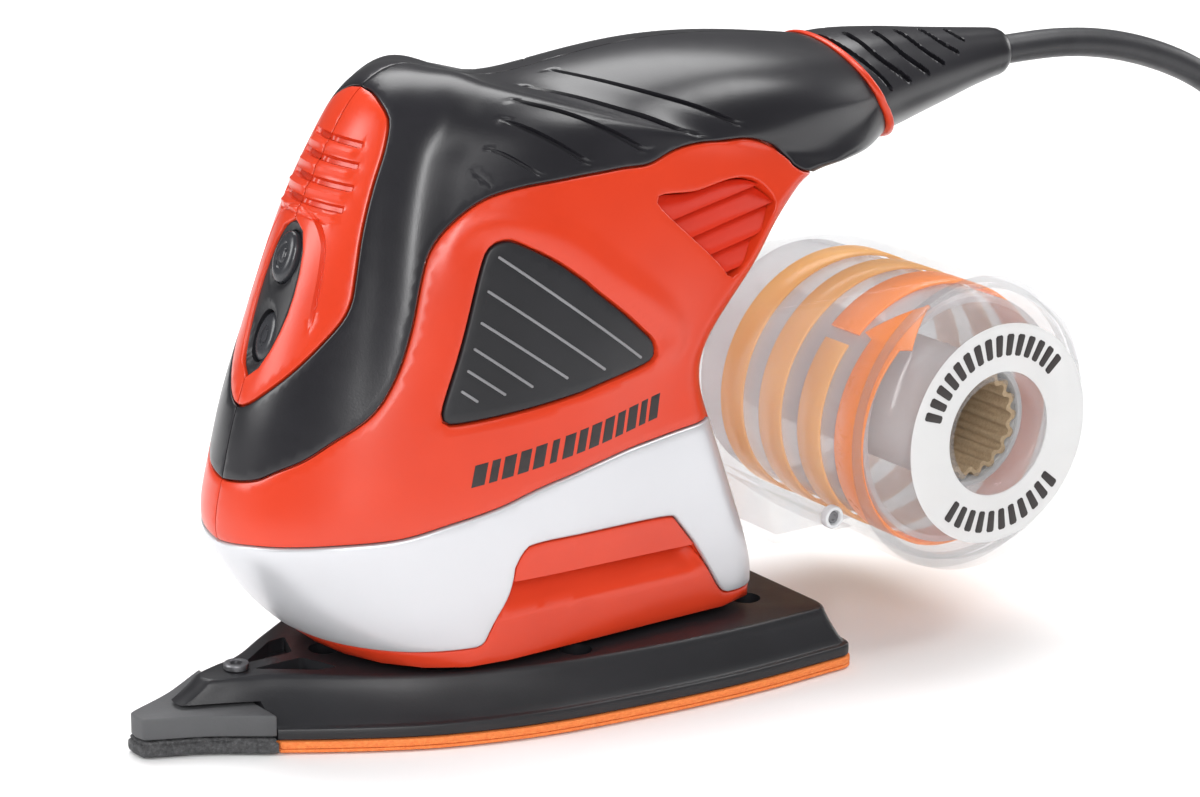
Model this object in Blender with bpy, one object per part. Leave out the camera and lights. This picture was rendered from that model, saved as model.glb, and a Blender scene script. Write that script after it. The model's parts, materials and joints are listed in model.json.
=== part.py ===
"""Corded orbital detail sander with a cyclonic dust canister, as an assembly.

All dimensions below are in millimetres; meshes are made in metres.
Frame: origin at the middle of the sanding face under the motor shaft,
+Z up, the pointed tip towards -X, the cord towards +X.
"""
import math
import bpy
import bmesh
import numpy as np
from mathutils import Vector, Matrix
from mathutils.geometry import delaunay_2d_cdt

MM = 0.001
GAP = 0.3

# ---------------------------------------------------------------- dimensions
SHEET_T, FOAM_T = 0.8, 1.6
PLATEN_Z0, PLATEN_EDGE, PLATEN_TOP = 3.0, 6.0, 16.0
BODY_Z0 = 18.0
ORBIT = 1.0                 # crank throw of the pad
SHAFT_R, BORE_R = 4.0, 4.3
WALL, SKIN = 4.0, 1.2       # moulded wall, overmoulded skin
CAN_X, CAN_Z, CAN_R, CAN_Y = 123.0, 57.0, 40.0, 45.0
CORD_R = 4.0

# Outline of the pad, -Y half, from the tip to the rear.
PAD = [(-102.5, 0), (-102, -3), (-88, -9.5), (-74.2, -18.5), (-58, -28.5), (-41, -37.5), (-24, -43.6),
       (-8.6, -47.3), (8, -49.7), (31, -52), (52, -52.8), (77, -52), (81, -50), (82, -46), (82, 0)]
# Outline of the platen's flat top, -Y half, point for point with PAD.
PAD_TOP = [(-84, 0), (-83, -3), (-77, -5.5), (-68, -8.5), (-56, -17), (-39, -28), (-23, -35),
           (-8, -40), (8, -43.2), (31, -46), (51, -47), (72, -46.8), (75.5, -45), (76.5, -41), (76.5, 0)]

# The body is lofted on straight ribs that run from the front seam to the rear
# seam: front x, z; rear x, z; half width; front rounding; rear corner radius;
# half width at the rear.
RIBS = np.array([
    (-50.0, 18.0, 62.0, 18.0, 37.5, 30.0, 9.0, 36.5),
    (-64.0, 30.0, 60.5, 30.0, 40.3, 44.0, 9.0, 38.5),
    (-73.5, 42.5, 54.5, 46.0, 42.6, 62.0, 9.0, 40.0),
    (-78.5, 53.0, 47.0, 66.0, 43.6, 74.0, 9.0, 40.5),
    (-76.6, 66.0, 43.5, 78.0, 43.2, 76.0, 9.0, 39.5),
    (-72.5, 82.0, 45.0, 88.0, 42.3, 74.0, 9.0, 38.5),
    (-66.3, 99.0, 53.0, 98.0, 41.2, 70.0, 9.0, 37.5),
    (-59.8, 116.0, 62.5, 107.0, 39.6, 64.0, 9.0, 36.0),
    (-52.4, 133.0, 70.0, 115.0, 37.4, 58.0, 9.0, 34.0),
    (-45.0, 146.0, 77.0, 121.0, 35.0, 53.0, 9.0, 32.0),
    (-37.0, 157.0, 83.0, 124.3, 32.6, 52.0, 9.0, 30.0),
    (-25.0, 162.6, 88.5, 125.4, 31.0, 60.0, 9.0, 28.5),
    (-12.0, 159.6, 93.5, 125.8, 30.0, 60.0, 9.0, 27.5),
    (2.0, 156.8, 98.0, 126.0, 29.5, 56.0, 9.0, 26.5),
    (20.0, 158.3, 102.0, 126.1, 29.0, 50.0, 9.5, 25.5),
    (45.0, 160.3, 107.0, 126.2, 27.6, 38.0, 10.0, 24.0),
    (72.0, 159.2, 113.0, 126.4, 24.5, 27.0, 11.5, 21.5),
    (100.0, 155.2, 119.3, 126.7, 19.0, 17.3, 14.0, 18.5),
])
LAST = len(RIBS) - 1
T1, T2, T3 = 0.42, 0.72, 0.86      # front rounding, side, rear corner, rear wall


# ------------------------------------------------------------- body surface
def cubic(rows):
    """Second derivatives of the natural cubic spline through the ribs."""
    n = len(rows)
    m = np.eye(n)
    r = np.zeros_like(rows)
    for i in range(1, n - 1):
        m[i, i - 1:i + 2] = 1, 4, 1
        r[i] = 6 * (rows[i + 1] - 2 * rows[i] + rows[i - 1])
    return np.linalg.solve(m, r)


BEND = cubic(RIBS)


def rib(k):
    k = np.clip(np.asarray(k, float), 0, LAST)
    i = np.minimum(k.astype(int), LAST - 1)
    t = (k - i)[..., None]
    s = 1 - t
    return s * RIBS[i] + t * RIBS[i + 1] + ((s**3 - s) * BEND[i] + (t**3 - t) * BEND[i + 1]) / 6


def surf(k, tau):
    """Point of the -Y half at rib k and place tau: 0 front seam, 1 rear seam."""
    k, tau = np.broadcast_arrays(np.asarray(k, float), np.asarray(tau, float))
    cx, cz, bx, bz, w, a, b, wr = np.moveaxis(rib(k), -1, 0)
    length = np.hypot(bx - cx, bz - cz)
    p = np.clip(tau / T1, 0, 1) * math.pi / 2
    q, y = a * (1 - np.cos(p)), w * np.sin(p)
    u = np.clip((tau - T1) / (T2 - T1), 0, 1)
    q = np.where(tau > T1, a + u * (length - b - a), q)
    y = np.where(tau > T1, w + (wr - w) * u * u * (3 - 2 * u), y)
    p = np.clip((tau - T2) / (T3 - T2), 0, 1) * math.pi / 2
    q = np.where(tau > T2, length - b + b * np.sin(p), q)
    y = np.where(tau > T2, wr - b * (1 - np.cos(p)), y)
    u = np.clip((tau - T3) / (1 - T3), 0, 1)
    y = np.where(tau > T3, (wr - b) * (1 - u), y)
    return np.stack([cx + (bx - cx) * q / length, -y, cz + (bz - cz) * q / length], -1)


def slopes(k, tau):
    k = np.asarray(k, float)
    tau = np.asarray(tau, float)
    e, f = 1e-3, 1e-4
    k0, k1 = np.clip(k - e, 0, LAST), np.clip(k + e, 0, LAST)
    t0, t1 = np.clip(tau - f, 0, 1), np.clip(tau + f, 0, 1)
    return ((surf(k1, tau) - surf(k0, tau)) / (k1 - k0)[..., None],
            (surf(k, t1) - surf(k, t0)) / (t1 - t0)[..., None])


def normal(k, tau):
    sk, st = slopes(k, tau)
    n = np.cross(sk, st)
    return n / np.linalg.norm(n, axis=-1)[..., None] * FACING


FACING = 1.0
if normal(np.array([4.0]), np.array([0.5]))[0][1] > 0:
    FACING = -1.0

GRID_K, GRID_T = (g.ravel() for g in np.meshgrid(np.linspace(0, LAST, 137), np.linspace(0, 0.72, 73), indexing="ij"))
GRID_P = surf(GRID_K, GRID_T)


def place(x=None, y=None, z=None):
    """Rib and place on the -Y half of the point with the two coordinates given."""
    axes = [i for i, v in enumerate((x, y, z)) if v is not None]
    want = np.array([v for v in (x, y, z) if v is not None], float)
    ok = (GRID_T < 0.45) & (GRID_K < 10.6) if x is None else (GRID_T > 0.05)
    top = 10.6 if x is None else LAST
    d = ((GRID_P[:, axes] - want) ** 2).sum(1) + np.where(ok, 0, 1e6)
    i = int(np.argmin(d))
    k, t = GRID_K[i], GRID_T[i]
    for _ in range(12):
        r = surf(k, t)[axes] - want
        sk, st = slopes(np.array(k), np.array(t))
        m = np.stack([sk[axes], st[axes]], 1)
        step = np.linalg.lstsq(m, -r, rcond=None)[0]
        k = float(np.clip(k + np.clip(step[0], -1, 1), 0, top))
        t = float(np.clip(t + np.clip(step[1], -0.1, 0.1), 0, 0.999))
    return k, t


def side(points):
    return [place(x=x, z=z) for x, z in points]


def front(points):
    return [place(y=y, z=z) for y, z in points]


def run(points, step=6.0, closed=False):
    """Smooth curve on the body through the points, a point every step."""
    p = np.array(points, float)
    n = len(p)
    if n == 2 and not closed:
        spans = [(p[0], p[0], p[1], p[1])]
    else:
        idx = range(n) if closed else range(n - 1)
        spans = []
        for i in idx:
            if closed:
                spans.append((p[i - 1], p[i], p[(i + 1) % n], p[(i + 2) % n]))
            else:
                spans.append((p[max(i - 1, 0)], p[i], p[i + 1], p[min(i + 2, n - 1)]))
    fine = []
    for a, b, c, d in spans:
        for t in np.linspace(0, 1, 24, endpoint=False):
            if n == 2:
                fine.append(b + (c - b) * t)
            else:
                fine.append(0.5 * (2 * b + (c - a) * t + (2 * a - 5 * b + 4 * c - d) * t * t
                                   + (3 * b - a - 3 * c + d) * t ** 3))
    fine.append(p[0] if closed else p[-1])
    fine = np.array(fine)
    world = surf(np.clip(fine[:, 0], 0, LAST), np.clip(fine[:, 1], 0, 1))
    s = np.r_[0, np.cumsum(np.linalg.norm(np.diff(world, axis=0), axis=1))]
    if s[-1] < 1e-6:
        s = np.r_[0, np.cumsum(np.linalg.norm(np.diff(fine, axis=0), axis=1))]
    count = max(1, int(round(s[-1] / step)))
    at = np.linspace(0, s[-1], count + 1)
    out = np.stack([np.interp(at, s, fine[:, 0]), np.interp(at, s, fine[:, 1])], 1)
    return out[:-1] if closed else out


def chain(*runs):
    """Joins runs end to end into one closed outline."""
    out = []
    for r in runs:
        for q in r:
            if not out or np.abs(np.array(q) - out[-1]).max() > 1e-6:
                out.append(np.array(q, float))
    if np.abs(out[0] - out[-1]).max() < 1e-6:
        out.pop()
    return np.array(out)


def area(loop):
    x, y = loop[:, 0], loop[:, 1]
    return 0.5 * float((x * np.roll(y, -1) - np.roll(x, -1) * y).sum())


def inset(loop, dist):
    """The outline moved inwards over the body by dist."""
    loop = np.array(loop, float)
    ccw = area(loop) > 0
    k, t = np.clip(loop[:, 0], 0, LAST), np.clip(loop[:, 1], 0, 1)
    sk, st = slopes(k, t)
    n = normal(k, t)
    out = []
    count = len(loop)
    for i in range(count):
        def tangent(a, b):
            v = sk[i] * (b[0] - a[0]) + st[i] * (b[1] - a[1])
            return v / (np.linalg.norm(v) + 1e-12)
        ta, tb = tangent(loop[i - 1], loop[i]), tangent(loop[i], loop[(i + 1) % count])
        pa, pb = np.cross(n[i], ta), np.cross(n[i], tb)
        mid = pa + pb
        mid /= np.linalg.norm(mid) + 1e-12
        mid *= min(1 / max(0.35, float(mid @ pa)), 2.2) * dist
        m = np.stack([sk[i], st[i]], 1)
        dk = np.linalg.lstsq(m, mid, rcond=None)[0]
        out.append(loop[i] + dk)
    moved = np.array(out)
    if (abs(area(moved)) > abs(area(loop))) == (dist > 0):
        moved = 2 * loop - moved
    return moved


def inside(loop, pts):
    pts = np.atleast_2d(pts)
    x, y = pts[:, 0], pts[:, 1]
    hit = np.zeros(len(pts), bool)
    j = len(loop) - 1
    for i in range(len(loop)):
        xi, yi, xj, yj = loop[i][0], loop[i][1], loop[j][0], loop[j][1]
        cond = (yi > y) != (yj > y)
        with np.errstate(divide="ignore", invalid="ignore"):
            hit ^= cond & (x < (xj - xi) * (y - yi) / (yj - yi + 1e-300) + xi)
        j = i
    return hit


FLAT = np.array([14.0, 230.0])
COLLAR_DIR = np.array((RIBS[-1][1] - RIBS[-1][3], 0, RIBS[-1][2] - RIBS[-1][0]))
COLLAR_DIR /= np.linalg.norm(COLLAR_DIR)


def net(loops, cell, keep):
    """Triangles over the flat rib chart that follow every loop."""
    verts, edges = [], []
    for loop in loops:
        base = len(verts)
        verts += [tuple(p * FLAT) for p in loop]
        edges += [(base + i, base + (i + 1) % len(loop)) for i in range(len(loop))]
    segs = np.array([[verts[a], verts[b]] for a, b in edges])
    lo, hi = segs.reshape(-1, 2).min(0), segs.reshape(-1, 2).max(0)
    gx = np.arange(max(lo[0], 0) + cell * 0.5, min(hi[0], LAST * FLAT[0]), cell)
    gy = np.arange(max(lo[1], 0) + cell * 0.5, min(hi[1], FLAT[1]), cell)
    if len(gx) and len(gy):
        pts = np.array([(x, y + (cell / 2 if i % 2 else 0)) for i, x in enumerate(gx) for y in gy])
        pts = pts[keep(pts / FLAT)]
        if len(pts):
            a, b = segs[:, 0][None], segs[:, 1][None]
            p = pts[:, None]
            ab = b - a
            t = np.clip(((p - a) * ab).sum(-1) / ((ab * ab).sum(-1) + 1e-12), 0, 1)
            d = np.linalg.norm(p - a - ab * t[..., None], axis=-1).min(1)
            verts += [tuple(q) for q in pts[d > cell * 0.42]]
    vo, _, fo, vi, _, _ = delaunay_2d_cdt([Vector(v) for v in verts], edges, [], 0, 1e-5, True)
    out = np.array([tuple(v) for v in vo]) / FLAT
    faces = [f for f in fo if len(f) == 3]
    mid = np.array([out[list(f)].mean(0) for f in faces])
    faces = [f for f, ok in zip(faces, keep(mid)) if ok]
    back = {}
    for j, ids in enumerate(vi):
        for i in ids:
            back[i] = j
    return out, faces, back


def patch(name, outline, mat, top=0.0, bottom=-SKIN, steps=(), holes=(), cell=10.0, join=False, mirror=False, inner=1.0):
    """Closed shell over a region of the body, between two depths."""
    def keep(p):
        ok = inside(outline, p)
        for h in holes:
            ok &= ~inside(h, p)
        return ok
    loops = [outline] + list(holes)
    mids = []
    for loop, depth in steps:
        loops += [loop, inset(loop, 0.35)]
        mids.append((inset(loop, 0.2), depth))
    uv, tris, _ = net(loops, cell, keep)
    count = {}
    for f in tris:
        for a, b in ((f[0], f[1]), (f[1], f[2]), (f[2], f[0])):
            count[(a, b)] = 1
    rim = [(a, b) for a, b in count if (b, a) not in count]
    ids = sorted({v for e in rim for v in e})
    new = {v: i for i, v in enumerate(ids)}
    # the same rim again, on a coarser net, for the inner face
    pts = [tuple(uv[v] * FLAT) for v in ids]
    edges = [(new[a], new[b]) for a, b in rim]
    n_rim = len(pts)
    segs = np.array([[pts[a], pts[b]] for a, b in edges])
    lo, hi = segs.reshape(-1, 2).min(0), segs.reshape(-1, 2).max(0)
    big = cell * inner
    gx, gy = np.arange(lo[0] + big / 2, hi[0], big), np.arange(lo[1] + big / 2, hi[1], big)
    if len(gx) and len(gy):
        g = np.array([(x, y + (big / 2 if i % 2 else 0)) for i, x in enumerate(gx) for y in gy])
        g = g[keep(g / FLAT)]
        if len(g):
            a, b = segs[:, 0][None], segs[:, 1][None]
            ab = b - a
            t = np.clip(((g[:, None] - a) * ab).sum(-1) / ((ab * ab).sum(-1) + 1e-12), 0, 1)
            d = np.linalg.norm(g[:, None] - a - ab * t[..., None], axis=-1).min(1)
            pts += [tuple(q) for q in g[d > big * 0.42]]
    vo, _, fo, vi, _, _ = delaunay_2d_cdt([Vector(p) for p in pts], edges, [], 0, 1e-6, True)
    uv_in = np.array([tuple(v) for v in vo]) / FLAT
    mid = np.array([uv_in[list(f)].mean(0) for f in fo])
    tris_in = [f for f, ok in zip(fo, keep(mid)) if ok]
    back = {}
    for j, src in enumerate(vi):
        for i in src:
            back[i] = j
    depth = np.full(len(uv), float(top))
    for m, d in mids:
        depth[inside(m, uv)] = d

    def world(p, d):
        k, t = np.clip(p[:, 0], 0, LAST), np.clip(p[:, 1], 0, 1)
        n = normal(k, t)
        for at, plane in ((k > LAST - 1e-6, COLLAR_DIR), (k < 1e-6, np.array((0, 0, 1.0)))):
            n[at] -= (n[at] @ plane)[:, None] * plane
            n[at] /= np.linalg.norm(n[at], axis=1)[:, None]
        w = surf(k, t) + n * np.asarray(d)[:, None]
        edge = (t < 1e-5) | (t > 1 - 1e-5)
        limit = 0.0 if join else -0.15
        w[:, 1] = np.minimum(w[:, 1], limit)
        w[edge, 1] = limit
        return w
    outer = world(uv, depth)
    inner = world(uv_in, np.full(len(uv_in), float(bottom)))
    flip = False
    best = 0
    for f in tris[:40]:
        a, b, c = (outer[v] for v in f)
        best += float(np.cross(b - a, c - a) @ normal(*uv[list(f)].mean(0)[:, None])[0])
    flip = best < 0
    used = {}
    verts, faces = [], []

    def vid(kind, i):
        key = (kind, i)
        if key not in used:
            used[key] = len(verts)
            verts.append((outer if kind == 0 else inner)[i])
        return used[key]
    for f in tris:
        g = [vid(0, v) for v in f]
        faces.append(g[::-1] if flip else g)
    for f in tris_in:
        g = [vid(1, v) for v in f]
        faces.append(g if flip else g[::-1])
    for a, b in rim:
        if join and uv[a][1] < 1e-5 and uv[b][1] < 1e-5:
            continue
        a0, b0, a1, b1 = vid(0, a), vid(0, b), vid(1, back[new[a]]), vid(1, back[new[b]])
        quad = [b0, a0, a1, b1]
        faces.append(quad[::-1] if flip else quad)
    verts = np.array(verts)
    if join:
        n = len(verts)
        faces += [[v + n for v in f[::-1]] for f in faces]
        verts = np.r_[verts, verts * (1, -1, 1)]
    if mirror:
        verts = verts * (1, -1, 1)
        faces = [f[::-1] for f in faces]
    return solid(name, verts, faces, mat, weld=join)


# ------------------------------------------------------------ small toolbox
for thing in list(bpy.data.objects):
    bpy.data.objects.remove(thing, do_unlink=True)
MODEL = bpy.data.collections.new("orbital_sander")
CUTS = bpy.data.collections.new("cutters")
bpy.context.scene.collection.children.link(MODEL)
bpy.context.scene.collection.children.link(CUTS)
PAINT = {}


def paint(name, colour, rough=0.5, metal=0.0, alpha=1.0):
    mat = bpy.data.materials.new(name)
    mat.use_nodes = True
    b = mat.node_tree.nodes["Principled BSDF"]
    b.inputs["Base Color"].default_value = (*colour, 1)
    b.inputs["Roughness"].default_value = rough
    b.inputs["Metallic"].default_value = metal
    b.inputs["Alpha"].default_value = alpha
    mat.diffuse_color = (*colour, alpha)
    PAINT[name] = mat


paint("orange", (0.76, 0.055, 0.015), 0.32)
paint("orange_dark", (0.45, 0.03, 0.01), 0.5)
paint("soft_black", (0.016, 0.016, 0.019), 0.45)
paint("black", (0.02, 0.02, 0.023), 0.4)
paint("silver", (0.62, 0.63, 0.65), 0.3, 0.3)
paint("pad_grey", (0.045, 0.045, 0.047), 0.8)
paint("sheet_orange", (0.85, 0.2, 0.05), 0.7)
paint("smoke", (0.6, 0.62, 0.65), 0.15, 0.0, 0.35)
paint("amber", (0.85, 0.5, 0.18), 0.3, 0.0, 0.6)
paint("bright_orange", (0.9, 0.27, 0.01), 0.35)
paint("light_grey", (0.42, 0.43, 0.45), 0.4)
paint("tan", (0.45, 0.33, 0.2), 0.8)
paint("steel", (0.5, 0.5, 0.52), 0.3, 1.0)
paint("dark_steel", (0.16, 0.16, 0.17), 0.45, 0.9)
paint("copper", (0.6, 0.25, 0.1), 0.35, 1.0)
paint("carbon", (0.03, 0.03, 0.03), 0.6)
paint("white_plastic", (0.75, 0.75, 0.72), 0.5)
paint("brass", (0.6, 0.42, 0.15), 0.3, 1.0)


def link(ob, mat, where=None):
    (where or MODEL).objects.link(ob)
    ob.data.materials.clear()
    ob.data.materials.append(PAINT[mat])
    if where is CUTS:
        ob.hide_render = True
        ob.display_type = "WIRE"
    return ob


def solid(name, verts, faces, mat, weld=False, where=None):
    me = bpy.data.meshes.new(name)
    me.from_pydata([tuple(np.asarray(v) * MM) for v in verts], [], [tuple(f) for f in faces])
    bm = bmesh.new()
    bm.from_mesh(me)
    if weld:
        bmesh.ops.remove_doubles(bm, verts=bm.verts, dist=1e-6)
    bmesh.ops.recalc_face_normals(bm, faces=bm.faces)
    if bm.calc_volume() < 0:
        bmesh.ops.reverse_faces(bm, faces=bm.faces)
    bm.to_mesh(me)
    bm.free()
    me.validate()
    return link(bpy.data.objects.new(name, me), mat, where)


def from_bm(name, bm, mat, where=None):
    bmesh.ops.recalc_face_normals(bm, faces=bm.faces)
    if bm.calc_volume() < 0:
        bmesh.ops.reverse_faces(bm, faces=bm.faces)
    me = bpy.data.meshes.new(name)
    bm.to_mesh(me)
    bm.free()
    return link(bpy.data.objects.new(name, me), mat, where)


def prism(name, outline, z0, z1, mat, where=None):
    """Flat outline (x, y) standing from z0 to z1."""
    bm = bmesh.new()
    low = bm.faces.new([bm.verts.new((x * MM, y * MM, z0 * MM)) for x, y in outline])
    up = bmesh.ops.extrude_face_region(bm, geom=[low])
    bmesh.ops.translate(bm, vec=(0, 0, (z1 - z0) * MM), verts=[v for v in up["geom"] if isinstance(v, bmesh.types.BMVert)])
    return from_bm(name, bm, mat, where)


def extrude_y(name, outline, y0, y1, mat, where=None):
    """Flat outline (x, z) drawn out from y0 to y1."""
    bm = bmesh.new()
    low = bm.faces.new([bm.verts.new((x * MM, y0 * MM, z * MM)) for x, z in outline])
    up = bmesh.ops.extrude_face_region(bm, geom=[low])
    bmesh.ops.translate(bm, vec=(0, (y1 - y0) * MM, 0), verts=[v for v in up["geom"] if isinstance(v, bmesh.types.BMVert)])
    return from_bm(name, bm, mat, where)


def box(name, x, y, z, mat, where=None):
    bm = bmesh.new()
    bmesh.ops.create_cube(bm, size=MM)
    bmesh.ops.scale(bm, vec=(x[1] - x[0], y[1] - y[0], z[1] - z[0]), verts=bm.verts)
    bmesh.ops.translate(bm, vec=((x[0] + x[1]) / 2 * MM, (y[0] + y[1]) / 2 * MM, (z[0] + z[1]) / 2 * MM), verts=bm.verts)
    return from_bm(name, bm, mat, where)


AXES = {"X": Matrix.Rotation(math.pi / 2, 4, "Y"), "Y": Matrix.Rotation(-math.pi / 2, 4, "X"), "Z": Matrix.Identity(4)}


def rod(name, r, a, b, axis, at, mat, where=None, segments=24, r2=None):
    """Cylinder or cone from a to b along an axis through the point at."""
    bm = bmesh.new()
    bmesh.ops.create_cone(bm, cap_ends=True, segments=segments, radius1=r * MM, radius2=(r if r2 is None else r2) * MM,
                          depth=(b - a) * MM)
    bmesh.ops.translate(bm, vec=(0, 0, (a + b) / 2 * MM), verts=bm.verts)
    bmesh.ops.transform(bm, matrix=Matrix.Translation(Vector(at) * MM) @ AXES[axis], verts=bm.verts)
    return from_bm(name, bm, mat, where)


def turned(name, profile, axis, at, mat, where=None, segments=24, closed=True):
    """Profile (r, h) turned about an axis through the point at."""
    bm = bmesh.new()
    vs = [bm.verts.new((r * MM, 0, h * MM)) for r, h in profile]
    es = [bm.edges.new((vs[i], vs[i + 1])) for i in range(len(vs) - 1)]
    if closed:
        es.append(bm.edges.new((vs[-1], vs[0])))
    bmesh.ops.spin(bm, geom=vs + es, cent=(0, 0, 0), axis=(0, 0, 1), dvec=(0, 0, 0), angle=2 * math.pi,
                   steps=segments, use_merge=True, use_duplicate=False)
    bmesh.ops.remove_doubles(bm, verts=bm.verts, dist=1e-6)
    bmesh.ops.transform(bm, matrix=Matrix.Translation(Vector(at) * MM) @ AXES[axis], verts=bm.verts)
    return from_bm(name, bm, mat, where)


def ring(name, r0, r1, a, b, axis, at, mat, segments=24, where=None):
    return turned(name, [(r0, a), (r1, a), (r1, b), (r0, b)], axis, at, mat, where, segments)


def loft(name, rings, mat, close=False, where=None):
    """Skin over rings of equal point count; ends capped, or joined when close."""
    n, m = len(rings), len(rings[0])
    verts = [p for r in rings for p in r]
    faces = []
    for i in range(n if close else n - 1):
        j = (i + 1) % n
        for a in range(m):
            b = (a + 1) % m
            faces.append((i * m + a, i * m + b, j * m + b, j * m + a))
    if not close:
        faces.append(tuple(range(m))[::-1])
        faces.append(tuple((n - 1) * m + a for a in range(m)))
    return solid(name, verts, faces, mat, where=where)


def cut(ob, cutter, op="DIFFERENCE"):
    """Boolean applied at once, so that the piece is one finished mesh."""
    md = ob.modifiers.new("bool", "BOOLEAN")
    md.operation = op
    md.object = cutter
    md.solver = "EXACT"
    dg = bpy.context.evaluated_depsgraph_get()
    dg.update()
    me = bpy.data.meshes.new_from_object(ob.evaluated_get(dg))
    ob.modifiers.clear()
    old = ob.data
    ob.data = me
    bpy.data.meshes.remove(old)
    if cutter.name in CUTS.objects:
        bpy.data.objects.remove(cutter, do_unlink=True)
    return ob


def both(outline):
    """Mirror a -Y half outline (from front to rear) into a whole one."""
    return list(outline) + [(x, -y) for x, y in outline[::-1] if abs(y) > 1e-9]


def shrink(outline, d):
    """Half outline moved inwards by d in the plane."""
    pts = both(outline)
    out = []
    n = len(pts)
    for i, (x, y) in enumerate(pts):
        a = Vector((x - pts[i - 1][0], y - pts[i - 1][1])).normalized()
        b = Vector((pts[(i + 1) % n][0] - x, pts[(i + 1) % n][1] - y)).normalized()
        m = Vector((-(a.y + b.y), a.x + b.x))
        m.normalize()
        c = max(0.5, m.dot(Vector((-a.y, a.x))))
        out.append((x + m.x * d / c, y + m.y * d / c))
    return out


# ------------------------------------------------------------- sanding pad
DUST = [(-48, 0), (4, -36), (4, 36), (62, -30), (62, 30), (64, 0)]
LEGS = [(-28, -22), (-28, 22), (38, -24), (38, 24)]

# The pad's own outline stops at the tip block: the nose is a block of its own.
TIP_X = -73.0


def pad_behind_tip(extra=0.0):
    half = [p for p in PAD if p[0] > TIP_X + 1]
    x0 = TIP_X + GAP + extra
    y0 = -18.5 + (x0 + 74.2) * (-10.0 / 16.2)
    return both([(x0, 0), (x0, y0)] + half)


def tip_outline(grow=0.0):
    half = [p for p in PAD if p[0] < TIP_X - 1]
    y0 = -18.5 - 1.2 * 10.0 / 16.2
    return both([(x - grow, y - (grow if y else 0)) for x, y in half] + [(TIP_X - GAP, y0 - grow), (TIP_X - GAP, 0)])


sheet = prism("sanding_sheet", pad_behind_tip(), 0, SHEET_T, "sheet_orange")
foam = prism("foam_pad", pad_behind_tip(), SHEET_T + GAP, SHEET_T + GAP + FOAM_T, "sheet_orange")
rings = []
for z, d, top in ((PLATEN_Z0, 0.0, False), (PLATEN_EDGE, 0.3, False)):
    rings.append([(x, y, z) for x, y in shrink(PAD, 0.4 + d)])
rings.append([(x, y, 14.2) for x, y in shrink([(a[0] * 0.12 + b[0] * 0.88, a[1] * 0.12 + b[1] * 0.88) for a, b in zip(PAD, PAD_TOP)], 0)])
rings.append([(x, y, PLATEN_TOP) for x, y in shrink(PAD_TOP, 0.6)])
platen = loft("platen", rings, "black")
for i, (x, y) in enumerate(DUST):
    for ob in (sheet, foam, platen):
        cut(ob, rod("c", 4.0, -2, 20, "Z", (x, y, 0), "steel", CUTS, 10))
cut(platen, rod("c", 12.3, 8.5, 20, "Z", (ORBIT, 0, 0), "steel", CUTS, 24))
for x, y in LEGS:
    cut(platen, rod("c", 8.2, 12.0, 20, "Z", (x, y, 0), "steel", CUTS, 12))
# nose of the platen: cut away for the tip block, with a slot for its tongue
cut(platen, prism("c", [(-120, -40), (TIP_X, -40), (TIP_X, 40), (-120, 40)], -5, 10.8, "steel", CUTS))
cut(platen, box("c", (-80, -61), (-8.4, 8.4), (4.8, 8.4), "steel", CUTS))
for s in (-1, 1):
    cut(platen, prism("c", [(-70, s * 2.2), (-56, s * 2.2), (-52, s * 12.5), (-57, s * 12.0)][::s], 12.5, 20, "steel", CUTS))
rod("tip_screw", 3.2, PLATEN_TOP + GAP, PLATEN_TOP + 1.8, "Z", (-73.5, 0, 0), "dark_steel", None, 16)

tip_pad = prism("tip_pad", tip_outline(0.7), 0, 3.8, "pad_grey")
finger = prism("tip_finger", tip_outline(0.0), 3.8 + GAP, 9.8, "pad_grey")
cut(finger, box("c", (-82, -62), (-8, 8), (5.2, 8.0), "steel", CUTS), "UNION")

ring("orbit_bearing", BORE_R, 12.0, 8.8, 15.8, "Z", (ORBIT, 0, 0), "steel")

# ------------------------------------------------------ drive, on the Z axis
Z0 = (0, 0, 0)
shaft = rod("motor_shaft", SHAFT_R, 9.2, 20, "Z", (ORBIT, 0, 0), "steel")
cut(shaft, rod("c", 6.0, 19, 25, "Z", Z0, "steel", CUTS), "UNION")
cut(shaft, rod("c", SHAFT_R, 24, 122, "Z", Z0, "steel", CUTS), "UNION")
cw = rod("counterweight", 20, 25.3, 31, "Z", Z0, "dark_steel")
cut(cw, box("c", (7, 30), (-30, 30), (20, 40), "steel", CUTS))
cut(cw, rod("c", BORE_R, 20, 40, "Z", Z0, "steel", CUTS))
fan = turned("fan", [(BORE_R, 32), (30, 32), (30, 34), (9, 34), (9, 41), (BORE_R, 41)], "Z", Z0, "black")
for i in range(7):
    blade = box("c", (11, 29), (-0.9, 0.9), (33, 41), "black", CUTS)
    blade.data.transform(Matrix.Rotation(math.radians(360 / 7 * i), 4, "Z"))
    cut(fan, blade, "UNION")
ring("lower_bearing", BORE_R, 13.0, 43, 50, "Z", Z0, "steel")
ring("bearing_plate", 13.3, 33.0, 44, 49, "Z", Z0, "black")
ring("stator", 24.0, 30.0, 56, 92, "Z", Z0, "dark_steel", 28)
for s, tag in ((-1, "left"), (1, "right")):
    pts = [(r * math.sin(math.radians(a)), s * r * math.cos(math.radians(a)))
           for r, sweep in ((23.6, range(-60, 61, 12)), (17.6, range(60, -61, -12))) for a in sweep]
    prism("field_coil_" + tag, pts, 51, 97, "copper")
    box("brush_" + tag, (-3, 3), sorted((s * 9.9, s * 19)), (99.5, 105.5), "carbon")
    holder = box("brush_holder_" + tag, (-5, 5), sorted((s * 12.5, s * 27)), (97.5, 107.5), "brass")
    cut(holder, box("c", (-3.3, 3.3), sorted((s * 5, s * 24)), (99.2, 105.8), "steel", CUTS))
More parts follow.
